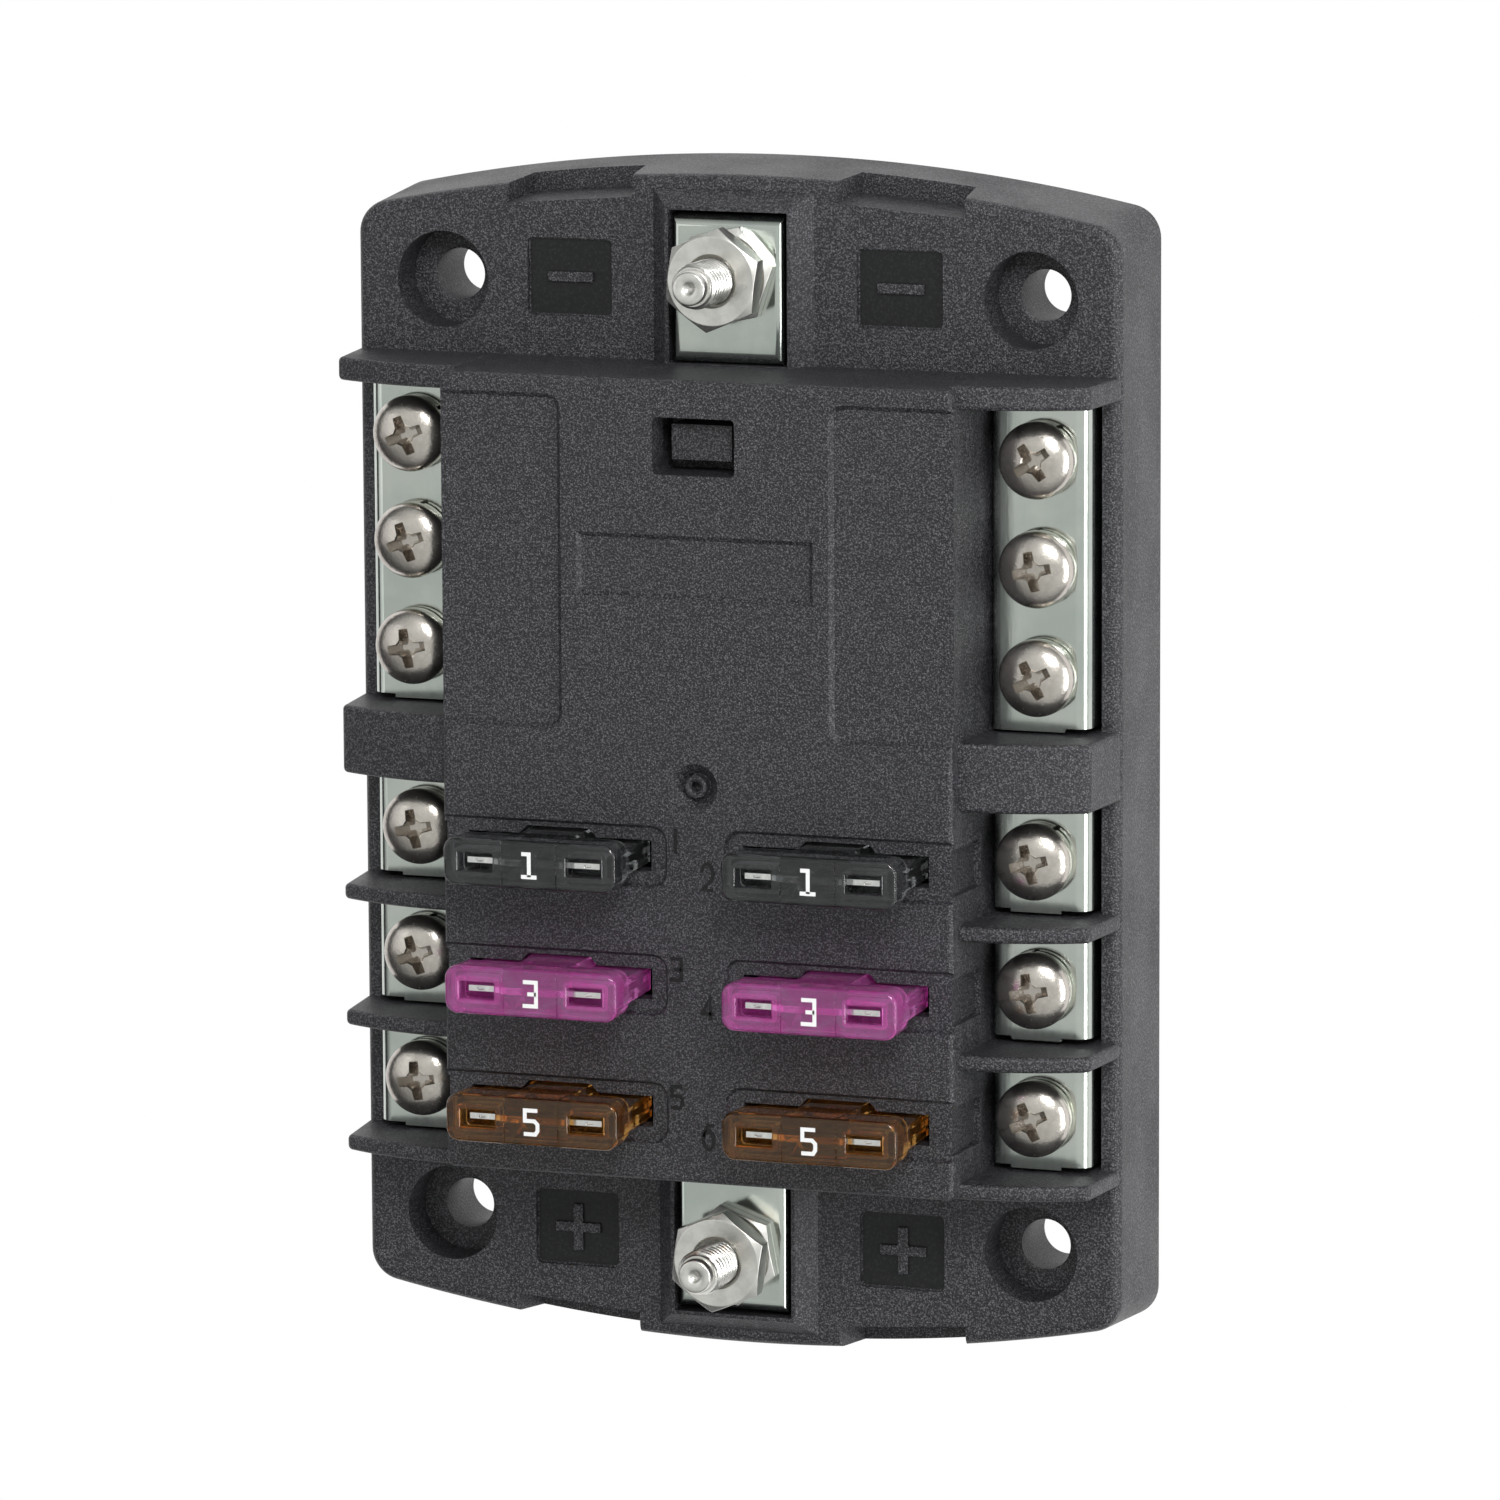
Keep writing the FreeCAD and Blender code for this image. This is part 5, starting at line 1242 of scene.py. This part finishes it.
def bore_stud(item, end):
    """Bore a tab for its stud and roll its long edges down."""
    place = centre("stud_negative" if end > 0 else "stud_positive")
    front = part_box("jam_nut_negative")[0].z
    bore_r, bore_deep = settings().fasteners.stud_r + 0.05 * MM, 3 * MM

    def bore(bm):
        prism(bm, disc(place.x, place.y, bore_r, 48), front - bore_deep, front + OVER)

    def edges(bm):
        roll = 0.9 * MM
        near = settings().sheet.tab_inner_y - 0.5 * MM
        far = near + 17 * MM
        inner, outer, low, high = TAB_HALF_X - roll, TAB_HALF_X + OVER, front - roll, front + OVER
        corner = arc(inner, low, roll, 0, 90, 10) + [(inner, high), (outer, high), (outer, low)]
        for side in SIDES:
            prism(bm, [(side * x, z) for x, z in corner], *sorted((end * near, end * far)), "xz")

    boolean(item, bore)
    boolean(item, edges)


def build_negative_bus():
    """Build the negative bus: crossbar, two arms and the stud tab."""
    size, housing = settings().sheet, settings().housing
    low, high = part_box("negative_bus")
    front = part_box("negative_washer_1")[0].z
    outer = high.x
    gap, lap, notch_long = 0.23 * MM, 0.5 * MM, 2.6 * MM
    near, far = low.y, housing.flange_top_y - housing.flange_thick - gap
    bm = bmesh.new()
    box(bm, (-size.leg_x - lap, size.leg_x + lap), (size.bar_low_y, size.bar_high_y),
        (size.bus_level, size.bus_level + size.thick))
    item = finish_mesh(bm, "negative_bus_sheet")

    def arms(bm):
        for side in SIDES:
            prism(bm, strip_points(size.leg_x - OVER, size.leg_x, outer, front, side), near, far, "xz")

    def notches(bm):
        for side in SIDES:
            for y, inward in ((near, size.notch), (far, -size.notch)):
                box(bm, (side * (outer - notch_long), side * (outer + OVER)), (y + inward, y - 3 * inward),
                    (size.foot - OVER, front + OVER))

    boolean(item, arms, "UNION")
    boolean(item, lambda bm: add_tab(bm, 1), "UNION")
    bore_stud(item, 1)
    boolean(item, notches)
    screws = [centre(f"negative_screw_{index}") for index in FUSES]
    drill(item, [(screw.x, screw.y) for screw in screws], front)
    soften(item, size.edge, 2, 40)
    finish_piece(item, "tinned_sheet", ROOT, "tinned_sheet", "negative_bus")


def build_positive_bus():
    """Build the positive bus: bar, six blade clips and the stud tab."""
    size = settings().sheet
    bm = bmesh.new()
    box(bm, (-size.positive_half_x, size.positive_half_x), (-size.positive_low_y, -size.positive_high_y),
        (size.bus_level, size.bus_level + size.thick))
    item = finish_mesh(bm, "positive_bus_sheet")
    inner_blade, _ = blade_x()

    def jaws(bm):
        for side, row in BAYS:
            add_jaws(bm, (side * (inner_blade - size.jaw_half_x), side * (inner_blade + size.jaw_half_x)),
                     fuse_y(row))

    boolean(item, lambda bm: add_tab(bm, -1), "UNION")
    bore_stud(item, -1)
    boolean(item, jaws, "UNION")
    soften(item, size.edge, 2, 40)
    finish_piece(item, "tinned_sheet", ROOT, "tinned_sheet", "positive_bus")


# Screws, washers, studs and nuts

def threaded_rod(bm, radius, low, high, steps, plain_low, plain_high):
    """Add a rod with a helical thread; its ends fade into a plain core."""
    fasteners = settings().fasteners
    pitch, deep = fasteners.pitch, fasteners.thread_deep
    rows_a_pitch, fewest_rows, crest_flat = 8, 8, 1.25
    rows = max(fewest_rows, int((high - low) / pitch * rows_a_pitch))
    sliver = 1e-6
    rings = []
    for row in range(rows + 1):
        z = low + (high - low) * row / rows
        fade = min(1.0, (z - low + sliver) / plain_low, (high - z + sliver) / plain_high)
        ring = []
        for step in range(steps):
            phase = (z / pitch - step / steps) % 1.0
            crest = min(1.0, (1 - abs(2 * phase - 1)) * crest_flat)
            r = radius - deep * (1 - crest * fade)
            turn = 2 * math.pi * step / steps
            ring.append(bm.verts.new((r * math.cos(turn), r * math.sin(turn), z)))
        rings.append(ring)
    for under, over in zip(rings, rings[1:]):
        for step in range(steps):
            after = (step + 1) % steps
            bm.faces.new((under[step], under[after], over[after], over[step]))
    bm.faces.new(rings[0][::-1])
    bm.faces.new(rings[-1])


def screw_mesh():
    """Build the mesh shared by the terminal screws, with its head's underside at the origin."""
    size = settings().fasteners
    low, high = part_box("output_screw_1")
    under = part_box("output_washer_1")[1].z
    tall, shank = high.z - under, low.z - under
    dome = tall - size.head_wall
    steps, fullness, bevel = 14, 0.92, 0.15 * MM
    curve = []
    for step in range(steps):
        turn = math.pi / 2 * (1 - step / steps)
        curve.append((size.head_r * math.sin(turn), size.head_wall + dome * math.cos(turn) ** fullness))
    bm = bmesh.new()
    lathe(bm, [(0, 0), (size.head_r - bevel, 0), (size.head_r, bevel)] + curve + [(0, tall)], 72)
    item = finish_mesh(bm, "screw_head")

    def recess(bm):
        # The depth of each level, and its shares of the arms' reach and width at the mouth
        levels = ((size.recess_deep, 0.45, 0.5), (0.7 * MM, 0.9, 0.85),
                  (0.25 * MM, 1.0, 1.0), (-0.25 * MM, 1.14, 1.45))
        core_share = 1.75
        sections = []
        for deep, reach, web in levels:
            far, half = size.recess_reach * reach, size.recess_web * web
            core = half * core_share
            outline = four_turns([(far, -half), (far, half), (core, half), (half, core)])
            sections.append((outline, tall - deep))
        loft(bm, sections)

    boolean(item, recess)
    into_head, point_fade, head_fade = 0.05 * MM, 0.8 * MM, 0.3 * MM
    bm = bmesh.new()
    threaded_rod(bm, size.screw_r, shank, into_head, 28, point_fade, head_fade)
    bm.from_mesh(take_mesh(item))
    return take_mesh(finish_mesh(bm, "terminal_screw", 20))


def washer_mesh(name, inner_r, outer_r, thick):
    """Build a split lock washer: one turn of square wire that climbs a little."""
    size = settings().fasteners
    climb, chamfer, end_slant, steps = thick * 0.16, 0.12 * MM, 0.05, 72
    body = thick - climb
    section = [(inner_r, chamfer), (inner_r + chamfer, 0), (outer_r - chamfer, 0), (outer_r, chamfer),
               (outer_r, body - chamfer), (outer_r - chamfer, body), (inner_r + chamfer, body),
               (inner_r, body - chamfer)]
    bm = bmesh.new()
    rings = []
    for step in range(steps + 1):
        part = step / steps
        turn = math.radians(size.washer_gap / 2 + (360 - size.washer_gap) * part)
        slant = end_slant if part == 1 else 0
        ring = []
        for r, z in section:
            angle = turn + slant * z / body
            ring.append(bm.verts.new((r * math.cos(angle), r * math.sin(angle), z + climb * part)))
        rings.append(ring)
    for before, after in zip(rings, rings[1:]):
        for index in range(len(section)):
            follow = (index + 1) % len(section)
            bm.faces.new((before[index], before[follow], after[follow], after[index]))
    bm.faces.new(rings[0])
    bm.faces.new(rings[-1][::-1])
    return take_mesh(finish_mesh(bm, name, 30))


def place_copy(mesh, name, at, turn, material, body, node_name):
    """Place a shared mesh as one piece."""
    item = bpy.data.objects.new(name, mesh)
    bpy.context.scene.collection.objects.link(item)
    item.matrix_world = Matrix.Translation(at) @ Matrix.Rotation(math.radians(turn), 4, "Z")
    mesh.materials.clear()
    mesh.materials.append(surface(material))
    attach(item, body)
    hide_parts(node_name)


def build_terminal_screws():
    """Build the twelve terminal screws and their lock washers."""
    fit = 0.12 * MM
    screw = screw_mesh()
    low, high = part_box("output_washer_1")
    washer = washer_mesh("terminal_washer", settings().fasteners.screw_r + fit, (high.x - low.x) / 2,
                         high.z - low.z)
    for group, turns in (("output", OUTPUT_TURNS), ("negative", NEGATIVE_TURNS)):
        for index in FUSES:
            screw_node, washer_node = f"{group}_screw_{index}", f"{group}_washer_{index}"
            middle = centre(screw_node)
            floor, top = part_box(washer_node)
            split = 25 + 17 * index
            place_copy(screw, f"{screw_node}_detail", Vector((middle.x, middle.y, top.z)), turns[index],
                       "nickel", f"{group}_{index}_turn", screw_node)
            place_copy(washer, f"{washer_node}_detail", Vector((middle.x, middle.y, floor.z)), split,
                       "spring_steel", f"{group}_{index}_rise", washer_node)


def nut_mesh(name, tall, chamfer_low):
    """Build a hexagon nut with chamfered corners and a countersunk bore."""
    size = settings().fasteners
    corner = size.nut_across / math.sqrt(3)
    flat = size.nut_across / 2
    bm = bmesh.new()
    prism(bm, disc(0, 0, corner, 6), 0, tall)
    item = finish_mesh(bm, name)

    def crown(bm):
        rise, past = size.nut_chamfer, 0.01 * MM
        spread = corner - flat + 0.35 * MM
        face_r = flat - 0.15 * MM
        profile = [(0, -past)]
        if chamfer_low:
            profile += [(face_r, -past), (face_r + spread, rise)]
        else:
            profile += [(corner + OVER, -past)]
        profile += [(face_r + spread, tall - rise), (face_r, tall + past), (0, tall + past)]
        lathe(bm, profile, 96)

    def bore(bm):
        inner, mouth, sink = size.stud_r + 0.04 * MM, size.stud_r + 0.4 * MM, 0.35 * MM
        lathe(bm, [(0, -OVER), (mouth, -OVER), (mouth, 0), (inner, sink), (inner, tall - sink), (mouth, tall),
                   (mouth, tall + OVER), (0, tall + OVER)], 56)

    boolean(item, crown, "INTERSECT")
    boolean(item, bore)
    soften(item, 0.09 * MM, 2, 18)
    keep_modifiers(item)
    return take_mesh(item)


def stud_mesh():
    """Build the mesh shared by the studs, with the top of the plate at the origin."""
    size = settings().fasteners
    low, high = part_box("stud_negative")
    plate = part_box("jam_nut_negative")[0].z
    base, tip = low.z - plate, high.z - plate
    head_r, under = (high.x - low.x) / 2, -settings().sheet.thick
    back_bevel, front_bevel = 0.3 * MM, 0.2 * MM
    bm = bmesh.new()
    lathe(bm, [(0, base), (head_r - back_bevel, base), (head_r, base + back_bevel),
               (head_r, under - front_bevel), (head_r - front_bevel, under), (0, under)], 48)
    pilot, shoulder = size.pilot_r, tip - size.pilot_tall
    into_head, head_fade, tip_fade = 0.1 * MM, 0.3 * MM, 0.55 * MM
    threaded_rod(bm, size.stud_r, under - into_head, shoulder, 48, head_fade, tip_fade)
    foot = shoulder - 0.6 * MM
    nose = [(pilot, tip - 0.22 * MM), (pilot - 0.07 * MM, tip - 0.08 * MM), (pilot - 0.25 * MM, tip)]
    dish = [(0.75 * MM, tip), (0.6 * MM, tip - 0.12 * MM), (0.25 * MM, tip - 0.38 * MM), (0, tip - 0.42 * MM)]
    lathe(bm, [(0, foot), (pilot, foot)] + nose + dish, 48)
    return take_mesh(finish_mesh(bm, "stud", 40))


def build_studs():
    """Build the two studs with their nuts and lock washers."""
    fit = 0.12 * MM
    low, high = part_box("stud_washer_negative")
    washer = washer_mesh("stud_lock_washer", settings().fasteners.stud_r + fit, (high.x - low.x) / 2,
                         high.z - low.z)
    jam_low, jam_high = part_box("jam_nut_negative")
    nut_low, nut_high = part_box("stud_nut_negative")
    jam = nut_mesh("jam_nut", jam_high.z - jam_low.z, False)
    nut = nut_mesh("stud_nut", nut_high.z - nut_low.z, True)
    stud = stud_mesh()
    for end, (jam_turn, washer_turn, nut_turn) in STUD_TURNS.items():
        middle = centre(f"stud_{end}")
        rise, spin = f"stud_{end}_rise", f"stud_{end}_turn"
        pieces = (
            (stud, f"stud_{end}", jam_low.z, 0, "stud_nickel", ROOT, "nickel"),
            (jam, f"jam_nut_{end}", jam_low.z, jam_turn, "stud_nickel", ROOT, "nickel"),
            (washer, f"stud_washer_{end}", low.z, washer_turn, "spring_steel", rise, "spring_steel"),
            (nut, f"stud_nut_{end}", nut_low.z, nut_turn, "stud_nickel", spin, "nickel"),
        )
        for mesh, node_name, level, turn, material, body, slot in pieces:
            place_copy(mesh, f"{node_name}_detail", Vector((middle.x, middle.y, level)), turn,
                       material, body, node_name)


# Fuses

def fuse_body_mesh(element_box):
    """Build the mesh shared by the fuse bodies, with the middle of the head's top at the origin."""
    size = settings().fuses
    low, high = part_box("fuse_1_body")
    half_x, half_y = (high.x - low.x) / 2, (high.y - low.y) / 2
    bottom, under = low.z - high.z, -size.head_tall
    element_low, element_high = element_box
    room_x = (element_high.x - element_low.x) / 2 + size.room_fit
    room_y = (element_high.y - element_low.y) / 2 + size.room_fit
    room_top = element_high.z - high.z + size.room_fit
    lower_top = under + 0.3 * MM
    edge, edge_steps, corner_share, lean = size.head_edge, 4, 0.8, 0.12 * MM
    sections = [(centred(half_x - lean, half_y - lean, size.corner - lean), under)]
    for step in range(edge_steps + 1):
        turn = math.pi / 2 * step / edge_steps
        inset = edge * (1 - math.cos(turn))
        level = -edge + edge * math.sin(turn)
        sections.append((centred(half_x - inset, half_y - inset, size.corner - inset * corner_share), level))
    bm = bmesh.new()
    loft(bm, sections)
    item = finish_mesh(bm, "fuse_body")

    def lower(bm):
        taper_x, taper_y, corner = 0.25 * MM, 0.1 * MM, 0.35 * MM
        loft(bm, [(centred(size.low_half_x - taper_x, size.low_half_y - taper_y, corner, 4), bottom),
                  (centred(size.low_half_x, size.low_half_y, corner, 4), lower_top)])

    def bulge(bm):
        slant, foot = 0.55 * MM, bottom + 1.2 * MM
        near = size.low_half_y - 0.1 * MM
        outline = [(-size.bulge_half_x - slant, -near), (-size.bulge_half_x, -size.bulge_half_y),
                   (size.bulge_half_x, -size.bulge_half_y), (size.bulge_half_x + slant, -near)]
        prism(bm, outline + [(-x, -y) for x, y in outline], foot, lower_top)

    def room(bm):
        box(bm, (-room_x, room_x), (-room_y, room_y), (bottom - OVER, room_top))

    def wells(bm):
        corner, foot = 0.5 * MM, under + 0.6 * MM
        for side in SIDES:
            mid = side * size.test_x
            outline = round_rectangle((mid - size.well_half_x, mid + size.well_half_x),
                                      (-size.well_half_y, size.well_half_y), corner, 4)
            prism(bm, outline, foot, -size.well_roof)

    def windows(bm):
        mouth, past = 0.12 * MM, 0.02 * MM
        wide, tall = size.test_half_x, size.test_half_y
        for side in SIDES:
            mid = side * size.test_x
            inner = rectangle((mid - wide, mid + wide), (-tall, tall))
            outer = rectangle((mid - wide - mouth, mid + wide + mouth), (-tall - mouth, tall + mouth))
            loft(bm, [(inner, room_top - size.room_fit), (inner, -mouth), (outer, past), (outer, OVER)])

    def grooves(bm):
        half, deep, side_deep = 0.07 * MM, 0.09 * MM, 0.1 * MM
        for side in SIDES:
            mid = side * size.bulge_half_x
            across = (mid - half, mid + half)
            box(bm, across, (-half_y - OVER, half_y + OVER), (-deep, OVER))
            for face in SIDES:
                box(bm, across, (face * (half_y - side_deep), face * (half_y + OVER)), (under - OVER, OVER))

    boolean(item, lower, "UNION")
    boolean(item, bulge, "UNION")
    for build in (room, wells, windows, grooves):
        boolean(item, build)
    soften(item, 0.06 * MM, 2, 40)
    keep_modifiers(item)
    return take_mesh(item)


def fuse_element_mesh():
    """Build the mesh shared by the elements, with the middle of its top at the origin."""
    low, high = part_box("fuse_1_element")
    half_x, half_y = (high.x - low.x) / 2, (high.y - low.y) / 2
    bottom = low.z - high.z
    blade, point = 5.2 * MM, 0.9 * MM
    slant = point * 0.7
    inner = half_x - blade
    shoulder, shoulder_low = inner + 0.9 * MM, -2.2 * MM
    link_top, link_low, link_rise = -4.8 * MM, -6.1 * MM, 1.6 * MM
    right = [(inner, bottom + point), (inner + slant, bottom), (half_x - slant, bottom),
             (half_x, bottom + point), (half_x, 0), (shoulder, 0), (shoulder, shoulder_low),
             (inner, shoulder_low), (inner, link_top), (inner / 2, link_top + link_rise)]
    under = [(inner / 2, link_low + link_rise), (inner, link_low)]
    outline = right + [(-x, z) for x, z in reversed(right)] + [(-x, z) for x, z in reversed(under)] + under
    bm = bmesh.new()
    prism(bm, outline, -half_y, half_y, "xz")
    item = finish_mesh(bm, "fuse_element")

    def test_points(bm):
        wide, tall, deep = 0.35 * MM, 0.12 * MM, 0.3 * MM
        for side in SIDES:
            mid = side * settings().fuses.test_x
            box(bm, (mid - wide, mid + wide), (-tall, tall), (-deep, OVER))

    boolean(item, test_points)
    soften(item, 0.05 * MM, 2, 40)
    keep_modifiers(item)
    return take_mesh(item)


def build_fuses():
    """Build the six fuses with their elements and printed numerals."""
    size = settings().fuses
    ink = 0.02 * MM
    element = fuse_element_mesh()
    bodies = {}
    for index, (text, plastic) in FUSES.items():
        low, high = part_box(f"fuse_{index}_body")
        element_low, element_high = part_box(f"fuse_{index}_element")
        top = Vector(((low.x + high.x) / 2, (low.y + high.y) / 2, high.z))
        if plastic not in bodies:
            bodies[plastic] = fuse_body_mesh((element_low, element_high))
        place_copy(bodies[plastic], f"fuse_{index}_plastic", top, 0, plastic, f"fuse_{index}",
                   f"fuse_{index}_body")
        place_copy(element, f"fuse_{index}_metal", Vector((top.x, top.y, element_high.z)), 0, "fuse_metal",
                   f"fuse_{index}", f"fuse_{index}_element")
        bm = bmesh.new()
        digit(bm, text, top.x, top.y, size.digit_wide, size.digit_tall, size.digit_stroke,
              top.z - ink, top.z + ink)
        numeral = finish_mesh(bm, f"fuse_{index}_numeral")
        finish_piece(numeral, "numeral_ink", f"fuse_{index}", plastic)


# Stage

# The camera's sensor in millimetres, and the nearest and furthest that it sees, in metres
SENSOR_WIDTH = 36
NEAREST, FURTHEST = 0.05, 20

# The floor's half width, its thickness, and the gap under the object that keeps the two apart
FLOOR_HALF, FLOOR_THICK, FLOOR_GAP = 3, 0.02, 0.0002


def aim(item, at, target, roll=0.0):
    """Point an object's -Z at a target, with its own +Y up along the part's +Y."""
    forward = (target - at).normalized()
    right = forward.cross(Vector((0, 1, 0))).normalized()
    up = right.cross(forward)
    right, up = (right * math.cos(roll) + up * math.sin(roll), up * math.cos(roll) - right * math.sin(roll))
    turn = Matrix((right, up, -forward)).transposed().to_4x4()
    item.matrix_world = Matrix.Translation(at) @ turn


def build_camera():
    """Place the camera at the photograph's angle."""
    stage = settings().stage
    azimuth, elevation = math.radians(stage.azimuth), math.radians(stage.elevation)
    direction = Vector((math.sin(azimuth) * math.cos(elevation), math.sin(elevation),
                        math.cos(azimuth) * math.cos(elevation)))
    target = Vector(stage.target)
    data = bpy.data.cameras.new("photo_camera")
    data.lens = stage.focal
    data.sensor_width = SENSOR_WIDTH
    data.clip_start, data.clip_end = NEAREST, FURTHEST
    camera = bpy.data.objects.new("photo_camera", data)
    bpy.context.scene.collection.objects.link(camera)
    aim(camera, target + direction * stage.distance, target, math.radians(stage.roll))
    bpy.context.scene.camera = camera


def soft_light(name, at, target, size, power):
    """Add a large soft light."""
    data = bpy.data.lights.new(name, "AREA")
    data.shape = "RECTANGLE"
    data.size, data.size_y = size
    data.energy = power
    item = bpy.data.objects.new(name, data)
    bpy.context.scene.collection.objects.link(item)
    aim(item, Vector(at), Vector(target))


def show_white(tree, seen, lit, white, output):
    """Show a plain white in place of what is lit, for the rays that a factor names."""
    mix = node(tree, "ShaderNodeMixShader")
    for socket, place in zip((seen, lit, white), mix.inputs):
        tree.links.new(socket, place)
    tree.links.new(mix.outputs["Shader"], tree.nodes[output].inputs["Surface"])


def build_lights():
    """Set the soft surroundings, white to the camera, and three soft lights."""
    stage = settings().stage
    world = bpy.data.worlds.new("studio")
    bpy.context.scene.world = world
    world.use_nodes = True
    tree = world.node_tree
    background = tree.nodes["Background"]
    place = node(tree, "ShaderNodeTexCoord")
    facing = node(tree, "ShaderNodeVectorMath")
    facing.operation = "DOT_PRODUCT"
    facing.inputs[1].default_value = Vector(stage.bright_side).normalized()
    tree.links.new(place.outputs["Generated"], facing.inputs[0])
    front = ramp(tree, -0.05, 0.95)
    tree.links.new(facing.outputs["Value"], front.inputs["Value"])
    finish = settings().finish
    tint(tree, front.outputs["Result"], finish.shade, finish.glow, background.inputs["Color"])
    background.inputs["Strength"].default_value = stage.sky
    paths = node(tree, "ShaderNodeLightPath")
    white = node(tree, "ShaderNodeBackground", Color=(1, 1, 1, 1), Strength=1.0)
    show_white(tree, paths.outputs["Is Camera Ray"], background.outputs["Background"],
               white.outputs["Background"], "World Output")
    for name, (at, target, size) in LIGHTS.items():
        soft_light(name, at, target, size, getattr(stage, name))


def build_floor():
    """Lay the plain pale floor: white to the camera and in gloss, pale in what it lights."""
    bm = bmesh.new()
    box(bm, (-FLOOR_HALF, FLOOR_HALF), (-FLOOR_HALF, FLOOR_HALF), (-FLOOR_THICK, -FLOOR_GAP))
    floor = finish_mesh(bm, "floor")
    material, tree, shader = new_material("floor_white")
    shader.inputs["Base Color"].default_value = (0.8, 0.8, 0.8, 1)
    shader.inputs["Roughness"].default_value = 0.9
    paths = node(tree, "ShaderNodeLightPath")
    glow = node(tree, "ShaderNodeEmission", Color=(1, 1, 1, 1), Strength=1.0)
    seen = node(tree, "ShaderNodeMath")
    seen.operation = "MAXIMUM"
    tree.links.new(paths.outputs["Is Camera Ray"], seen.inputs[0])
    tree.links.new(paths.outputs["Is Glossy Ray"], seen.inputs[1])
    show_white(tree, seen.outputs["Value"], shader.outputs["BSDF"], glow.outputs["Emission"],
               "Material Output")
    floor.data.materials.append(material)


# Operators

# The operators in the order that they run in
STEPS = ("materials", "housing", "metal", "fasteners", "fuses", "stage")


class FUSEBLOCK_OT_materials(Operator):
    """Make the materials of the fuse block"""
    bl_idname = "fuse_block.materials"
    bl_label = "Make materials"

    def execute(self, context):
        make_materials()
        back = bpy.data.objects["back_plate"].data
        back.materials.clear()
        back.materials.append(surface("back_plate"))
        return {"FINISHED"}


class FUSEBLOCK_OT_housing(Operator):
    """Build the moulded housing with its marks and digits"""
    bl_idname = "fuse_block.housing"
    bl_label = "Build housing"

    def execute(self, context):
        build_housing()
        return {"FINISHED"}


class FUSEBLOCK_OT_metal(Operator):
    """Build the two busses and the six output terminals"""
    bl_idname = "fuse_block.metal"
    bl_label = "Build sheet metal"

    def execute(self, context):
        build_negative_bus()
        build_positive_bus()
        for index in FUSES:
            build_output_terminal(index)
        return {"FINISHED"}


class FUSEBLOCK_OT_fasteners(Operator):
    """Build the terminal screws, the studs and their nuts and washers"""
    bl_idname = "fuse_block.fasteners"
    bl_label = "Build fasteners"

    def execute(self, context):
        build_terminal_screws()
        build_studs()
        return {"FINISHED"}


class FUSEBLOCK_OT_fuses(Operator):
    """Build the six blade fuses"""
    bl_idname = "fuse_block.fuses"
    bl_label = "Build fuses"

    def execute(self, context):
        build_fuses()
        return {"FINISHED"}


class FUSEBLOCK_OT_stage(Operator):
    """Build the camera, the lights and the floor"""
    bl_idname = "fuse_block.stage"
    bl_label = "Build stage"

    def execute(self, context):
        bpy.context.scene.view_settings.view_transform = "Standard"
        build_camera()
        build_lights()
        build_floor()
        return {"FINISHED"}


class FUSEBLOCK_PT_panel(Panel):
    """Sizes and steps of the fuse block"""
    bl_label = "Fuse Block"
    bl_idname = "FUSEBLOCK_PT_panel"
    bl_space_type = "VIEW_3D"
    bl_region_type = "UI"
    bl_category = "Fuse Block"

    def draw(self, context):
        layout = self.layout
        for name in STEPS:
            layout.operator(f"fuse_block.{name}")
        stage = context.scene.fuse_block.stage
        for name in ("azimuth", "elevation", "distance", "focal", "sky", "key", "side", "fill"):
            layout.prop(stage, name)
        finish = context.scene.fuse_block.finish
        for name in ("housing", "tinned_sheet", "nickel", "fuse_black", "fuse_violet", "fuse_amber"):
            layout.prop(finish, f"{name}_dark")
            layout.prop(finish, f"{name}_pale")


CLASSES = (HousingSizes, SheetSizes, FastenerSizes, FuseSizes, Finishes, StageSettings, FuseBlockSettings,
           FUSEBLOCK_OT_materials, FUSEBLOCK_OT_housing, FUSEBLOCK_OT_metal, FUSEBLOCK_OT_fasteners,
           FUSEBLOCK_OT_fuses, FUSEBLOCK_OT_stage, FUSEBLOCK_PT_panel)


def register():
    """Register the classes and the scene's settings."""
    for item in CLASSES:
        bpy.utils.register_class(item)
    bpy.types.Scene.fuse_block = PointerProperty(type=FuseBlockSettings)


def unregister():
    """Remove the settings and the classes."""
    del bpy.types.Scene.fuse_block
    for item in reversed(CLASSES):
        bpy.utils.unregister_class(item)


def main():
    """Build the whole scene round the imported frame."""
    register()
    for name in STEPS:
        getattr(bpy.ops.fuse_block, name)()


if __name__ == "__main__":
    main()
